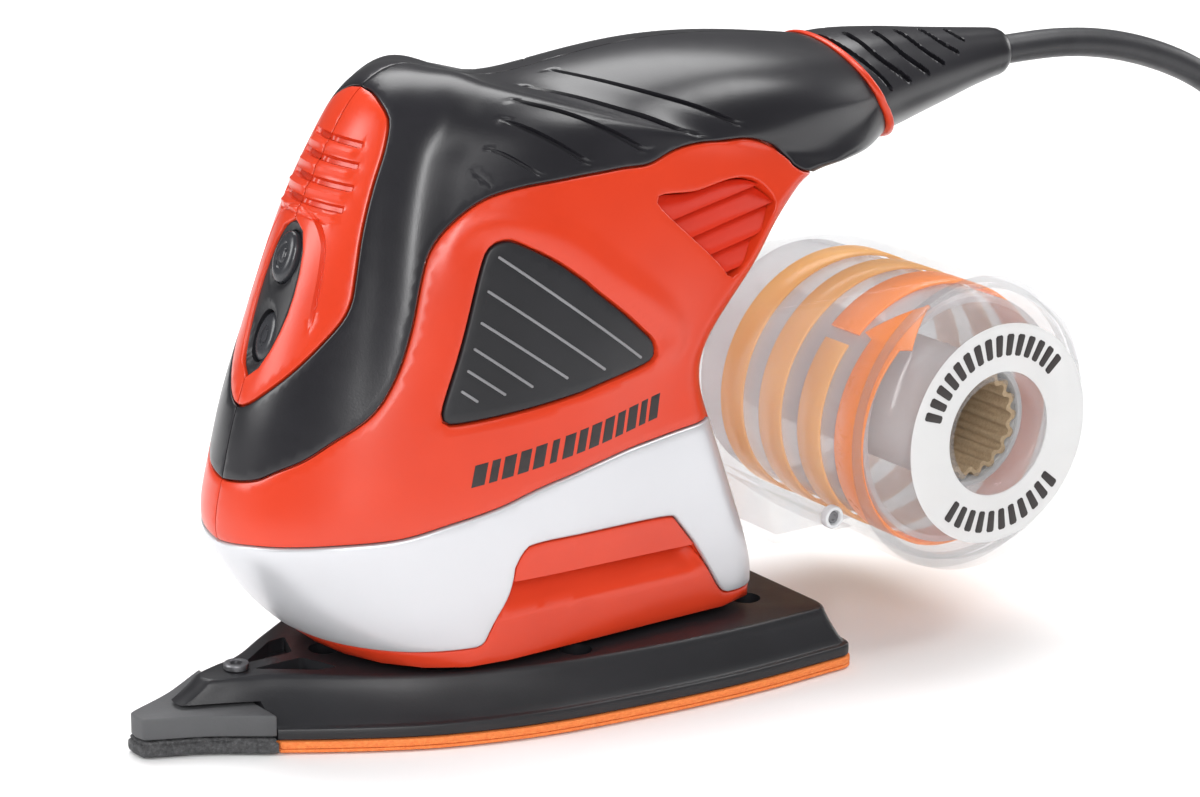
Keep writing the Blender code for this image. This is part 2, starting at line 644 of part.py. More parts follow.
ring("armature", BORE_R, 16.8, 55, 93, "Z", Z0, "dark_steel", 24)
ring("commutator", BORE_R, 9.5, 97, 109, "Z", Z0, "copper", 24)
ring("upper_bearing", BORE_R, 9.5, 113, 119, "Z", Z0, "steel", 24)
ring("upper_bearing_bracket", 9.8, 18.0, 112, 120, "Z", Z0, "black", 24)

# ------------------------------------------------------------ body outlines
LINE_WHITE = front([(0, 50.6), (-8.6, 51.6), (-14.1, 52.2)]) + side(
    [(-62.6, 53.7), (-47.9, 55), (-36, 57.7), (-23.4, 60.4), (-6.6, 64.8), (12.2, 68), (25.6, 69.3), (36, 70.3)])
LINE_WHITE[0] = (LINE_WHITE[0][0], 0.0)
REAR_WHITE = [LINE_WHITE[-1], (3.36, 0.80)]
BUMPER_REAR = [(3.36, 0.80), (0.36, 0.80)]
CUTOUT_REAR = side([(50.5, 21.9), (47.5, 24)]) + side([(38.4, 37.5), (31.3, 46.4)])
CUTOUT_TOP = side([(31.3, 46.4), (27.2, 47.7), (0.7, 48.9), (-13, 49.1), (-16.5, 47.5), (-18.5, 44)])
CUTOUT_FRONT = side([(-18.5, 44), (-20.7, 34.8), (-25, 25.5), (-27.5, 23.6)])
BUMPER_LOW = side([(-27.5, 23.6), (-38.4, 23.4), (-44, 23.4)]) + front([(-13.9, 23.7), (-5.6, 24.2), (0, 24.4)])
BUMPER_LOW[-1] = (BUMPER_LOW[-1][0], 0.0)

GRIP_LOW = front([(0, 65.8), (-10.5, 67.7), (-15.6, 70.6), (-20.7, 74), (-24.3, 78.1), (-29, 84.8)]) + side(
    [(-45.7, 93.3), (-40.7, 105.3), (-37.1, 117.4), (-34.4, 123.7), (-29.5, 129.1), (-20.8, 134.5), (-11, 136.5),
     (1.4, 137.1), (17.2, 137.2), (30.7, 137.5), (49.2, 139.1), (59.3, 138.2), (68.7, 134.9), (73.6, 131.6), (77.2, 128.2)])
GRIP_LOW[0] = (GRIP_LOW[0][0], 0.0)
GRIP_REAR = [GRIP_LOW[-1], (10.45, 0.78), (10.35, 0.88), (10.3, 1.0)]
SHIELD = front([(0, 158.3), (-5, 157.6), (-11, 154.4), (-13.5, 151.5), (-15.2, 146.3), (-16.4, 139), (-17.5, 132.1),
                (-18.4, 126.2)]) + front([(-19.9, 117), (-20.5, 110.8), (-19.1, 105), (-13.3, 94.7), (-5, 86.3), (0, 84)])
SHIELD[0], SHIELD[-1] = (SHIELD[0][0], 0.0), (SHIELD[-1][0], 0.0)
PANEL = side([(-36.3, 84.7), (-34.7, 89.4), (-29, 104), (-23.2, 120.3), (-20.6, 123.9), (-17.2, 125), (-13.5, 124),
              (-3.4, 118.2), (8, 109), (19.7, 99), (24.7, 94.2), (25.5, 91), (23.1, 88.3), (6.2, 86), (-14, 83.3),
              (-32.2, 81.7), (-35.7, 82.5)])
VENT = side([(28.4, 127.6), (42.6, 128.4), (60, 128.8), (67.5, 122), (66, 118.5), (59, 111), (51.6, 105.5), (47.5, 109)])
BEZEL = front([(0, 128.4), (-2.6, 127.6), (-5.5, 124.2), (-7.2, 118), (-7.8, 112), (-7.5, 105.8), (-6, 99), (-3.6, 93.6), (0, 90.8)])
BEZEL[0], BEZEL[-1] = (BEZEL[0][0], 0.0), (BEZEL[-1][0], 0.0)

edge = lambda *p: run(list(p), 11.0)
BUMPER_LOOP = chain(run(LINE_WHITE, 7), edge(*REAR_WHITE), edge(*BUMPER_REAR), edge((0.36, 0.80), CUTOUT_REAR[0]),
                    run(CUTOUT_REAR, 6), run(CUTOUT_TOP, 6), run(CUTOUT_FRONT, 6),
                    run(BUMPER_LOW, 7))
GRIP_LOOP = chain(run(GRIP_LOW + GRIP_REAR[1:], 4.5), edge((10.3, 1.0), (LAST, 1.0)), edge((LAST, 1.0), (LAST, 0.0)),
                  edge((LAST, 0.0), SHIELD[0]), run(SHIELD, 7))
PANEL_LOOP = run(PANEL, 6, closed=True)
VENT_LOOP = run(VENT, 5, closed=True)
BEZEL_RUN = run(BEZEL, 5)
BEZEL_LOOP = chain(BEZEL_RUN)
DUCT = [(2.25, 1.0), (2.25, 0.945), (3.25, 0.945), (3.25, 1.0)]


def stretched(loop, closed_edges=True):
    """Outline carried a little past the seams and the collar, for recesses."""
    out = loop.copy()
    out[out[:, 1] < 1e-6, 1] = -0.02
    out[out[:, 1] > 1 - 1e-6, 1] = 1.02
    out[out[:, 0] > LAST - 1e-6, 0] = LAST + 0.2
    return out


def fitted(loop, d):
    """Outline drawn in by d, but not along the seams and the collar."""
    out = inset(loop, d)
    out[loop[:, 1] < 1e-6, 1] = 0.0
    out[loop[:, 1] > 1 - 1e-6, 1] = 1.0
    out[loop[:, 0] > LAST - 1e-6, 0] = LAST
    return out


SHELL = chain(edge((0, 0), (BEZEL[-1][0], 0.0)), BEZEL_RUN[::-1], edge((BEZEL[0][0], 0.0), (LAST, 0)),
              edge((LAST, 0), (LAST, 1)), edge((LAST, 1), DUCT[3]), edge(DUCT[3], DUCT[2]), edge(DUCT[2], DUCT[1]),
              edge(DUCT[1], DUCT[0]), edge(DUCT[0], (0, 1)), edge((0, 1), (0, 0)))
RECESS = -(SKIN + 1.0)      # the skin's chords need a little more room than its gap
for tag, flip in (("left", False), ("right", True)):
    patch("housing_" + tag, SHELL, "orange", 0.0, -WALL,
          steps=[(stretched(BUMPER_LOOP), RECESS), (stretched(GRIP_LOOP), RECESS), (PANEL_LOOP, RECESS - 0.4)],
          holes=[VENT_LOOP], cell=12.0, mirror=flip, inner=1.5)
    patch("grip_" + tag, fitted(GRIP_LOOP, 1.0), "soft_black", 0.0, -SKIN, cell=9.0, mirror=flip)
    patch("side_panel_" + tag, inset(PANEL_LOOP, 0.55), "black", -0.4, -0.4 - SKIN, cell=12.0, mirror=flip)
    slots = []
    for z, x0, x1 in ((123.6, 38, 62), (118.6, 43, 62.5), (113.6, 47.8, 58.5)):
        slots.append(run(side([(x0, z - 1.3), (x1, z - 1.3)]), 9).tolist() + run(side([(x1, z + 1.3), (x0 - 1.5, z + 1.3)]), 9).tolist())
    patch("vent_grille_" + tag, inset(VENT_LOOP, 0.4), "orange", -1.9, -3.4, holes=[np.array(q) for q in slots],
          cell=12.0, mirror=flip)
bumper = chain(edge((BUMPER_LOW[-1][0], 0.0), (LINE_WHITE[0][0], 0.0)), BUMPER_LOOP)
patch("bumper", fitted(bumper, 0.55), "silver", 0.4, -SKIN, cell=8.0, join=True)

# ------------------------------------------------------- switch on the front
bezel_outline = chain(edge((BEZEL[-1][0], 0.0), (BEZEL[0][0], 0.0)), BEZEL_LOOP)
bezel = patch("switch_bezel", fitted(bezel_outline, 0.45), "black", -1.8, -3.3, cell=9.0, join=True)
LEAN = Vector((-0.927, 0, 0.375))           # outward direction of the switch face
RISE = Vector((0.375, 0, 0.927))


def plunger(name, z, half_w, half_h, out, depth, mat, where=None):
    """Oval button whose axis stands square to the switch face."""
    k, _ = place(y=0.0, z=z)
    base = Vector(surf(k, 0.0))
    rings = []
    for s, f in ((-depth, 1.0), (out - 0.8, 1.0), (out, 0.84)):
        rings.append([tuple(base + LEAN * s + RISE * (half_h * f * math.cos(a)) + Vector((0, 1, 0)) * (half_w * f * math.sin(a)))
                      for a in np.linspace(0, 2 * math.pi, 24, endpoint=False)])
    return loft(name, rings, mat, where=where)


TRAVEL = 2.0
for name, z, w, h, out in (("on_button", 119.6, 4.4, 6.6, 0.2), ("off_button", 101.0, 4.0, 6.4, 0.2 - TRAVEL)):
    cut(bezel, plunger("c", z, w + 0.35, h + 0.35, 6.0, 9.0, "steel", CUTS))
    plunger(name, z, w, h, out, 8.5, "soft_black")
module = box("switch_module", (-8, 8), (-8, 8), (-19, 19), "white_plastic")
k_mid, _ = place(y=0.0, z=110.0)
mid = Vector(surf(k_mid, 0.0)) - LEAN * 21.5
turn = Matrix(((0.927, 0, 0.375), (0, 1, 0), (-0.375, 0, 0.927))).to_4x4()
module.data.transform(Matrix.Translation(mid * MM) @ turn)

# ------------------------------------------------- collar ring, cord guard
def section(scale, dx, n=13):
    """Rim of the body at its last rib, scaled about its middle."""
    half = [surf(LAST, t) for t in np.linspace(0, 1, n)]
    pts = [np.array(p) for p in half] + [np.array(p) * (1, -1, 1) for p in half[-2:0:-1]]
    mid = (half[0] + half[-1]) / 2
    return [tuple(mid + (p - mid) * scale + (dx, 0, 0)) for p in pts]


loft("collar_ring", [section(1.0, 0.3), section(1.035, 0.7), section(1.035, 2.3), section(1.0, 2.7), section(0.8, 2.7),
                     section(0.8, 0.3)], "orange", close=True)
# top x, z and bottom x, z of each section of the guard, and its half width
GUARD = [(103.0, 155.0, 122.4, 126.5, 18.7), (112.0, 155.2, 128.5, 127.6, 16.6), (126.0, 154.0, 138.0, 129.8, 13.8),
         (140.0, 152.2, 147.0, 131.8, 11.0), (153.0, 150.6, 156.0, 134.0, 8.6), (163.0, 149.4, 164.0, 135.6, 6.9),
         (167.4, 148.7, 167.6, 136.4, 6.1), (168.4, 147.7, 168.4, 137.4, 5.2)]
BORE = [(168.4, 4.3), (163.5, 4.3), (154.5, 4.6), (143.5, 7.6), (132.0, 10.6), (120.2, 13.2), (113.2, 15.2)]


def oval(tx, tz, bx, bz, w, n=20):
    mx, mz = (tx + bx) / 2, (tz + bz) / 2
    return [(mx + (tx - mx) * math.cos(a), w * math.sin(a), mz + (tz - mz) * math.cos(a))
            for a in np.linspace(0, 2 * math.pi, n, endpoint=False)]


guard = [oval(*g) for g in GUARD]
for x, r in BORE:
    i = min(range(len(GUARD)), key=lambda j: abs((GUARD[j][0] + GUARD[j][2]) / 2 - x))
    tx, tz, bx, bz, w = GUARD[i]
    mx, mz = (tx + bx) / 2, (tz + bz) / 2
    h = math.hypot(tx - bx, tz - bz) / 2
    if r < 5:
        guard.append(oval(x, 142.55 + r, x, 142.55 - r, r))
    else:
        guard.append(oval(mx + (tx - mx) * r / h, mz + (tz - mz) * r / h, mx - (tx - mx) * r / h, mz - (tz - mz) * r / h, r * w / h))
loft("cord_guard", guard, "soft_black", close=True)
clamp = box("cord_clamp", (86, 96), (-10, 10), (136, 149), "black")
cut(clamp, rod("c", 4.3, 80, 100, "X", (0, 0, 142.5), "steel", CUTS, 20))

# -------------------------------------------------------------- under cover
plate = prism("base_plate", [(x, y) for x, y in both([(-46, 0), (-41, -17), (-33, -26), (-22, -31.5), (8, -32.5), (54, -31.5), (56.5, -28), (56.5, 0)])],
              20.5, 23.5, "black")
cut(plate, rod("c", 9.0, 10, 40, "Z", Z0, "steel", CUTS, 28))
for i, (x, y) in enumerate(LEGS):
    turned("pad_leg_%d" % (i + 1), [(0, 12.4), (5, 12.4), (3.6, 14.5), (3.6, 17.5), (5, 20.2), (0, 20.2)], "Z", (x, y, 0), "soft_black", None, 16, False)
turned("dust_seal", [(19, 16.6), (21, 16.6), (20.2, 18.4), (22, 20.2), (19.6, 20.2), (18.6, 18.4)], "Z", Z0, "soft_black", None, 24)
duct = box("dust_duct", (31.5, 49.6), (-11.2, 11.2), (51.6, 61.4), "black")
cut(duct, box("c", (20, 70), (-9.4, 9.4), (53.2, 59.8), "steel", CUTS))

# ---------------------------------------------------------- dust canister
def rear_x(z):
    """Rear wall of the body at a height."""
    zs, xs = RIBS[:11, 3], RIBS[:11, 2]
    return float(np.interp(z, zs, xs))


def can_outline(d):
    """Side outline of the canister, drawn in by d."""
    low, high = 35.0 + d, 98.0 - d
    r = CAN_R - d
    pts = []
    for z in np.linspace(low, high, 11):
        pts.append((max(rear_x(z), rear_x(z + 2), rear_x(z - 2)) + 1.2 + d, z))
    pts += [(CAN_X + r * math.cos(math.radians(a)), CAN_Z + r * math.sin(math.radians(a))) for a in np.linspace(90, -118, 27)]
    pts.append((86.0, low))
    return pts


def can_body(name, sections, where=None):
    """Canister form through outlines drawn in by d at places y; the far end tapers."""
    return loft(name, [[(x, y, z) for x, z in can_outline(d)] for y, d in sections], "smoke", where=where)


shell = can_body("canister_shell", [(-45, 0), (5, 0), (20, 1.0), (30, 3.8), (38, 8.0), (45, 13.5)])
cut(shell, can_body("c", [(-42.8, 2.2), (5, 2.2), (20, 3.3), (29, 6.2), (36.5, 10.4), (42, 15.2)], CUTS))
cut(shell, rod("c", 36.0, -60, -30, "Y", (CAN_X, 0, CAN_Z), "smoke", CUTS, 48))
cut(shell, box("c", (40, 66), (-9.2, 9.2), (52.0, 61.0), "smoke", CUTS))
turned("end_cap", [(39.6, -45.3), (39.2, -48.5), (36.5, -52.8), (32.5, -55.8), (28.5, -57.0), (15.5, -57.0), (13.6, -55.6),
                   (13.6, -47.5), (15.4, -47.5), (15.6, -54.6), (27.5, -54.8), (31.5, -53.6), (34.8, -51.0), (36.6, -47.6), (36.6, -45.3)],
       "Y", (CAN_X, 0, CAN_Z), "light_grey", None, 32)
ring("cyclone_tube", 31.6, 33.4, -42.5, 27.0, "Y", (CAN_X, 0, CAN_Z), "smoke", 32)
ring("filter_frame", 15.8, 17.4, -46.5, 34.0, "Y", (CAN_X, 0, CAN_Z), "light_grey", 28)
pleats = []
for i in range(36):
    r = 15.2 if i % 2 else 13.2
    pleats.append((r * math.cos(math.radians(10 * i)), r * math.sin(math.radians(10 * i))))
filt = prism("filter", pleats, -46.5, 33.0, "tan")
cut(filt, rod("c", 11.8, -60, 30, "Z", Z0, "tan", CUTS, 24))
filt.data.transform(Matrix.Translation(Vector((CAN_X, 0, CAN_Z)) * MM) @ AXES["Y"])


def ribbon(name, r, y0, pitch, a0, a1, half, thick, mat, tip=0.0):
    """Thin band wound about the canister's axis; it narrows to a point over tip degrees."""
    rings = []
    for a in np.linspace(a0, a1, max(2, int(abs(a1 - a0) / 18))):
        w = half
        if tip and abs(a1 - a) < tip:
            w = max(0.4, half * 1.8 * abs(a1 - a) / tip)
        y = y0 + pitch * (a - a0) / 360.0
        c, s = math.cos(math.radians(a)), math.sin(math.radians(a))
        rings.append([(CAN_X + c * rr, y + dy, CAN_Z + s * rr) for rr, dy in ((r, -w), (r + thick, -w), (r + thick, w), (r, w))])
    return loft(name, rings, mat)


ribbon("swirl_vane", 34.1, 18.0, 16.5, 326, -578, 4.6, 0.9, "amber")
ribbon("swirl_arrow", 34.1, -23.7, 16.5, -584, -970, 4.4, 0.9, "bright_orange", 26)
rod("canister_screw", 3.0, -47.4, -45.3, "Y", (77, 0, 40), "light_grey", None, 16)

# ------------------------------------------------------------------ cord
COIL_X, COIL_Y, COIL_R = 297.0, -46.0, 44.0
LEAVE = math.radians(-75)


def on_coil(deg, r, z):
    return (COIL_X + r * math.cos(math.radians(deg)), COIL_Y + r * math.sin(math.radians(deg)), z)


ROUTE = [(100, 0, 142.5), (125, 0, 142.5), (150, 0, 142.6), (168.6, 0, 142.5), (186.6, 0, 142.3), (205, 0, 140.1), (224, 0, 135),
         (243.7, 0, 126.3), (262, 0.5, 114), (280, 0, 99), (298, -2.5, 82), (316, -9.5, 66), (330, -22, 52),
         on_coil(8, 41.5, 41.5), on_coil(-20, 41, 34), on_coil(-45, 40.5, 30), on_coil(-66, 40.2, 28.8)]


def smooth(points, step):
    """Points of an even, smooth curve through the route."""
    p = np.array(points, float)
    s = np.r_[0, np.cumsum(np.linalg.norm(np.diff(p, axis=0), axis=1))]
    m = np.zeros((len(p), len(p)))
    r = np.zeros_like(p)
    m[0, 0] = m[-1, -1] = 1
    for i in range(1, len(p) - 1):
        h0, h1 = s[i] - s[i - 1], s[i + 1] - s[i]
        m[i, i - 1], m[i, i], m[i, i + 1] = h0, 2 * (h0 + h1), h1
        r[i] = 6 * ((p[i + 1] - p[i]) / h1 - (p[i] - p[i - 1]) / h0)
    dd = np.linalg.solve(m, r)
    out = []
    for x in np.linspace(0, s[-1], max(2, int(s[-1] / step)) + 1):
        i = min(max(int(np.searchsorted(s, x)) - 1, 0), len(p) - 2)
        h = s[i + 1] - s[i]
        a, b = (s[i + 1] - x) / h, (x - s[i]) / h
        out.append(a * p[i] + b * p[i + 1] + ((a**3 - a) * dd[i] + (b**3 - b) * dd[i + 1]) * h * h / 6)
    return out


def tube(name, points, r, mat):
    cu = bpy.data.curves.new(name, "CURVE")
    cu.dimensions = "3D"
    sp = cu.splines.new("POLY")
    sp.points.add(len(points) - 1)
    for q, p in zip(sp.points, points):
        q.co = (*(np.array(p) * MM), 1)
    cu.bevel_depth = r * MM
    cu.bevel_resolution = 2
    cu.use_fill_caps = True
    return link(bpy.data.objects.new(name, cu), mat)


tube("cord", smooth(ROUTE, 14), CORD_R, "soft_black")
ring("cord_coil", 36.0, 52.2, 0, 24.3, "Z", (COIL_X, COIL_Y, 0), "soft_black", 40)
leave = Vector(on_coil(-75, 48, CORD_R))
go = Vector((math.sin(LEAVE), -math.cos(LEAVE), 0))
tube("cord_tail", [leave + go * s for s in (29.6, 33, 36)], CORD_R, "soft_black")


def along(s, w, h, n=16):
    """Rounded section of the plug, s beyond the coil."""
    c = leave + go * s
    side_dir = Vector((go.y, -go.x, 0))
    return [tuple(c + side_dir * (w * math.copysign(abs(math.cos(a)) ** 0.6, math.cos(a)))
                  + Vector((0, 0, 1)) * (h * math.copysign(abs(math.sin(a)) ** 0.6, math.sin(a)))) for a in np.linspace(0, 2 * math.pi, n, endpoint=False)]


plug_rings = [along(36.3, 4.6, 3.9), along(50, 5.6, 3.95), along(56, 10, 5.0), along(60, 12.8, 6.5), along(84, 13.0, 6.9), along(86, 12.4, 6.4)]
for i in range(2, 6):
    plug_rings[i] = [(x, y, z + (0.2, 3.0, 3.2, 3.2)[i - 2] - 0.1) for x, y, z in plug_rings[i]]
loft("plug", [[(x, y, max(z, 0.02)) for x, y, z in r] for r in plug_rings], "soft_black")
for i, s in enumerate((-1, 1)):
    c = leave + go * 95.6 + Vector((go.y, -go.x, 0)) * (9.5 * s)
    pin = rod("plug_pin_%d" % (i + 1), 2.4, -9.3, 9.3, "X", (0, 0, 0), "brass", None, 12)
    pin.data.transform(Matrix.Translation(Vector((c.x, c.y, 7.1)) * MM) @ Matrix.Rotation(math.atan2(go.y, go.x), 4, "Z"))
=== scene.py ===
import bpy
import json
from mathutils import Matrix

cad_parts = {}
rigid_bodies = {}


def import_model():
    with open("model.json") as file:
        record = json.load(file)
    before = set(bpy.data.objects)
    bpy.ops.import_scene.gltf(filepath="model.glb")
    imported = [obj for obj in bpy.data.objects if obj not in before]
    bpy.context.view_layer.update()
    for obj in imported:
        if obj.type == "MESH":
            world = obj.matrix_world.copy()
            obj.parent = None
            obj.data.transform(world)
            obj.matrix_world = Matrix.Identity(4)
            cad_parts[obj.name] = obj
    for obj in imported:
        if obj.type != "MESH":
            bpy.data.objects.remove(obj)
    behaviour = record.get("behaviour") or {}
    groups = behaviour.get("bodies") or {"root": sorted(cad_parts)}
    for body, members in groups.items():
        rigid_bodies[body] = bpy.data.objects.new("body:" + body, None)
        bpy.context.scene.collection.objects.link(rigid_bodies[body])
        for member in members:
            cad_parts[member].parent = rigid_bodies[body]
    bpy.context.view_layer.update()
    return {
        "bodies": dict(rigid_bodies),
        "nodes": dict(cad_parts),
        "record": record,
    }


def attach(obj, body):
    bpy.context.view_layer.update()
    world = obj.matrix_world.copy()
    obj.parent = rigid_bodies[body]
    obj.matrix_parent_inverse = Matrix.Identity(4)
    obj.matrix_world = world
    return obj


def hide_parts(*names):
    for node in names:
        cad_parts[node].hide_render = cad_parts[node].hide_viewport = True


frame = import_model()
import json
import math
import bpy
import bmesh
import numpy as np
from mathutils import Vector, Matrix
from mathutils.kdtree import KDTree
from mathutils.geometry import delaunay_2d_cdt

# Lengths below are in millimetres unless they are handed to Blender.
MM = 0.001
SCENE = bpy.context.scene
SCENE.view_settings.view_transform = "Standard"
BODY = {n: b for b, ns in frame["record"]["behaviour"]["bodies"].items() for n in ns}
REPLACED = set()
keep_these = set(frame["nodes"].values()) | set(frame["bodies"].values())
for thing in list(bpy.data.objects):
    if thing not in keep_these:
        bpy.data.objects.remove(thing, do_unlink=True)

# ------------------------------------------------------------------ camera
eye_dir = Vector((-0.5318, -0.7885, 0.3090)).normalized()
camera = bpy.data.objects.new("camera", bpy.data.cameras.new("camera"))
SCENE.collection.objects.link(camera)
camera.location = Vector((0, 0, 0.06)) + eye_dir * 1.0
camera.rotation_euler = (-eye_dir).to_track_quat("-Z", "Y").to_euler()
camera.data.sensor_width = 36.0
camera.data.lens = 118.14
camera.data.shift_x = 0.0978
camera.data.shift_y = 0.0415
camera.data.clip_start = 0.01
SCENE.camera = camera


# --------------------------------------------------------------- materials
class Mat:
    """A Principled material with its colour, roughness and relief from nodes."""

    def __init__(self, name):
        self.m = bpy.data.materials.new("vis_" + name)
        self.m.use_nodes = True
        self.t = self.m.node_tree
        self.b = self.t.nodes["Principled BSDF"]
        self.co = self.t.nodes.new("ShaderNodeTexCoord").outputs["Object"]
        self.height = None

    def put(self, **values):
        for k, v in values.items():
            self.b.inputs[k.replace("_", " ")].default_value = v
        return self

    def stretch(self, vec):
        n = self.t.nodes.new("ShaderNodeMapping")
        self.t.links.new(self.co, n.inputs["Vector"])
        n.inputs["Scale"].default_value = vec
        return n.outputs["Vector"]

    def noise(self, size, detail=3.0, rough=0.5, vec=None):
        n = self.t.nodes.new("ShaderNodeTexNoise")
        self.t.links.new(vec or self.co, n.inputs["Vector"])
        n.inputs["Scale"].default_value = 1000.0 / size
        n.inputs["Detail"].default_value = detail
        n.inputs["Roughness"].default_value = rough
        return n.outputs["Fac"]

    def cells(self, size, vec=None, feature="F1"):
        n = self.t.nodes.new("ShaderNodeTexVoronoi")
        n.feature = feature
        self.t.links.new(vec or self.co, n.inputs["Vector"])
        n.inputs["Scale"].default_value = 1000.0 / size
        return n.outputs["Distance"]

    def ramp(self, fac, *stops):
        n = self.t.nodes.new("ShaderNodeValToRGB")
        r = n.color_ramp
        while len(r.elements) < len(stops):
            r.elements.new(0.5)
        for e, (pos, col) in zip(r.elements, stops):
            e.position = pos
            e.color = (*col, 1) if len(col) == 3 else col
        self.t.links.new(fac, n.inputs["Fac"])
        return n.outputs["Color"]

    def span(self, fac, lo, hi):
        n = self.t.nodes.new("ShaderNodeMapRange")
        self.t.links.new(fac, n.inputs["Value"])
        n.inputs["From Min"].default_value = 0.25
        n.inputs["From Max"].default_value = 0.75
        n.inputs["To Min"].default_value = lo
        n.inputs["To Max"].default_value = hi
        return n.outputs["Result"]

    def colour(self, fac, *stops):
        self.t.links.new(self.ramp(fac, *stops), self.b.inputs["Base Color"])
        return self

    def rough(self, fac, lo, hi):
        self.t.links.new(self.span(fac, lo, hi), self.b.inputs["Roughness"])
        return self

    def bump(self, height, distance, strength=1.0):
        n = self.t.nodes.new("ShaderNodeBump")
        n.inputs["Distance"].default_value = distance * MM
        n.inputs["Strength"].default_value = strength
        self.t.links.new(height, n.inputs["Height"])
        if self.height is not None:
            self.t.links.new(self.height, n.inputs["Normal"])
        self.height = n.outputs["Normal"]
        self.t.links.new(self.height, self.b.inputs["Normal"])
        return self


def shade(c, f):
    return tuple(min(1.0, v * f) for v in c)


def plastic(name, colour, rough, vary=0.05, grain=0.35, depth=0.012, tint=None, **extra):
    """Moulded plastic: a fine spark-eroded grain, slow tone and gloss changes."""
    m = Mat(name)
    other = tint or shade(colour, 1 + vary)
    m.colour(m.noise(26, 2), (0.3, shade(colour, 1 - vary)), (0.7, other))
    m.rough(m.noise(4.5, 5, 0.65), rough * 0.94, rough * 1.07)
    m.bump(m.noise(grain, 2), depth)
    m.put(**extra)
    return m.m


def metal(name, colour, rough, axis=(1, 1, 12)):
    m = Mat(name)
    v = m.stretch(axis)
    m.colour(m.noise(9, 3), (0.3, shade(colour, 0.86)), (0.7, shade(colour, 1.08)))
    m.rough(m.noise(0.8, 4, 0.6, v), rough * 0.75, rough * 1.35)
    m.bump(m.noise(0.5, 3, 0.5, v), 0.01)
    m.put(Metallic=1.0)
    return m.m


M = {}
M["orange"] = plastic("orange", (0.61, 0.038, 0.009), 0.30, 0.03, tint=(0.635, 0.043, 0.011), Specular_IOR_Level=0.5)
M["orange_dark"] = plastic("orange_dark", (0.50, 0.028, 0.010), 0.42, 0.06)
M["soft_black"] = plastic("soft_black", (0.0125, 0.012, 0.015), 0.30, 0.16, 0.5, 0.015, Specular_IOR_Level=0.5)
M["black"] = plastic("black", (0.016, 0.016, 0.0185), 0.40, 0.15, 0.6, 0.02, Specular_IOR_Level=0.4)
M["silver"] = plastic("silver", (0.60, 0.605, 0.63), 0.34, 0.01, 0.6, 0.002, Metallic=0.4)
M["vent_orange"] = plastic("vent_orange", (0.56, 0.026, 0.008), 0.46, 0.05, Specular_IOR_Level=0.22)
M["light_grey"] = plastic("light_grey", (0.60, 0.61, 0.63), 0.36, 0.04)
M["white_plastic"] = plastic("white_plastic", (0.75, 0.75, 0.72), 0.45, 0.04)
M["smoke"] = plastic("smoke", (0.36, 0.365, 0.385), 0.10, 0.05, 3.0, 0.03, Alpha=0.17, IOR=1.5)
M["clear_tube"] = plastic("clear_tube", (0.86, 0.86, 0.88), 0.2, 0.04, 3.0, 0.02, Alpha=0.5)
M["cap_clear"] = plastic("cap_clear", (0.40, 0.41, 0.43), 0.12, 0.03, 2.0, 0.02, Alpha=0.2, IOR=1.5)
M["face_white"] = plastic("face_white", (0.80, 0.80, 0.80), 0.3, 0.02, 1.0, 0.01, Alpha=0.72)
M["line_grey"] = plastic("line_grey", (0.22, 0.22, 0.23), 0.4, 0.1)
M["frost"] = plastic("frost", (0.78, 0.785, 0.79), 0.24, 0.03, 1.2, 0.02, Alpha=0.62)
# amber swirl band: its emission is a painted glow that brightens the band like light falling on it
M["amber"] = plastic("amber", (1.0, 0.50, 0.10), 0.26, 0.06, tint=(1.0, 0.58, 0.18), Alpha=0.9, Emission_Color=(1.0, 0.42, 0.10, 1.0), Emission_Strength=0.22)
# bright orange swirl arrow: its emission is a painted glow that brightens the arrow like light falling on it
M["bright_orange"] = plastic("bright_orange", (1.0, 0.26, 0.0), 0.28, 0.04, Emission_Color=(1.0, 0.22, 0.0, 1.0), Emission_Strength=0.4)

M["button"] = plastic("button", (0.030, 0.031, 0.036), 0.26, 0.12, 0.6, 0.01)
M["slab_grey"] = plastic("slab_grey", (0.078, 0.079, 0.083), 0.62, 0.2, 0.7, 0.06)
M["tube_grey"] = plastic("tube_grey", (0.72, 0.72, 0.73), 0.4, 0.08)
M["frost_solid"] = plastic("frost_solid", (0.66, 0.665, 0.68), 0.28, 0.03)
m = Mat("pad_grey")
m.colour(m.noise(1.1, 6, 0.7), (0.3, (0.030, 0.030, 0.032)), (0.55, (0.075, 0.075, 0.078)), (0.75, (0.15, 0.15, 0.155)))
m.rough(m.noise(2.0, 4), 0.75, 0.95)
m.bump(m.cells(0.9), 0.35).bump(m.noise(0.5, 5, 0.7), 0.25)
M["pad_grey"] = m.m
m = Mat("sheet_orange")
m.colour(m.noise(0.9, 6, 0.7), (0.3, (0.80, 0.17, 0.035)), (0.6, (0.90, 0.26, 0.06)), (0.8, (0.95, 0.36, 0.12)))
m.rough(m.noise(1.2, 4), 0.6, 0.85)
m.bump(m.cells(0.45), 0.12).bump(m.noise(0.3, 4), 0.06)
M["sheet_orange"] = m.m
m = Mat("tan")
m.colour(m.noise(0.7, 6, 0.75), (0.3, (0.36, 0.25, 0.15)), (0.7, (0.55, 0.42, 0.27)))
m.rough(m.noise(0.7, 4), 0.75, 0.95)
m.bump(m.noise(0.35, 5, 0.7), 0.15)
M["tan"] = m.m
m = Mat("carbon")
m.colour(m.noise(0.5, 5, 0.7), (0.3, (0.018, 0.018, 0.018)), (0.7, (0.05, 0.05, 0.05)))
m.rough(m.noise(1.0, 4), 0.5, 0.75)
m.bump(m.noise(0.3, 3), 0.04)
M["carbon"] = m.m
M["steel"] = metal("steel", (0.60, 0.60, 0.62), 0.26)
M["dark_steel"] = metal("dark_steel", (0.20, 0.20, 0.21), 0.42)
M["copper"] = metal("copper", (0.72, 0.32, 0.14), 0.30, (1, 1, 1))
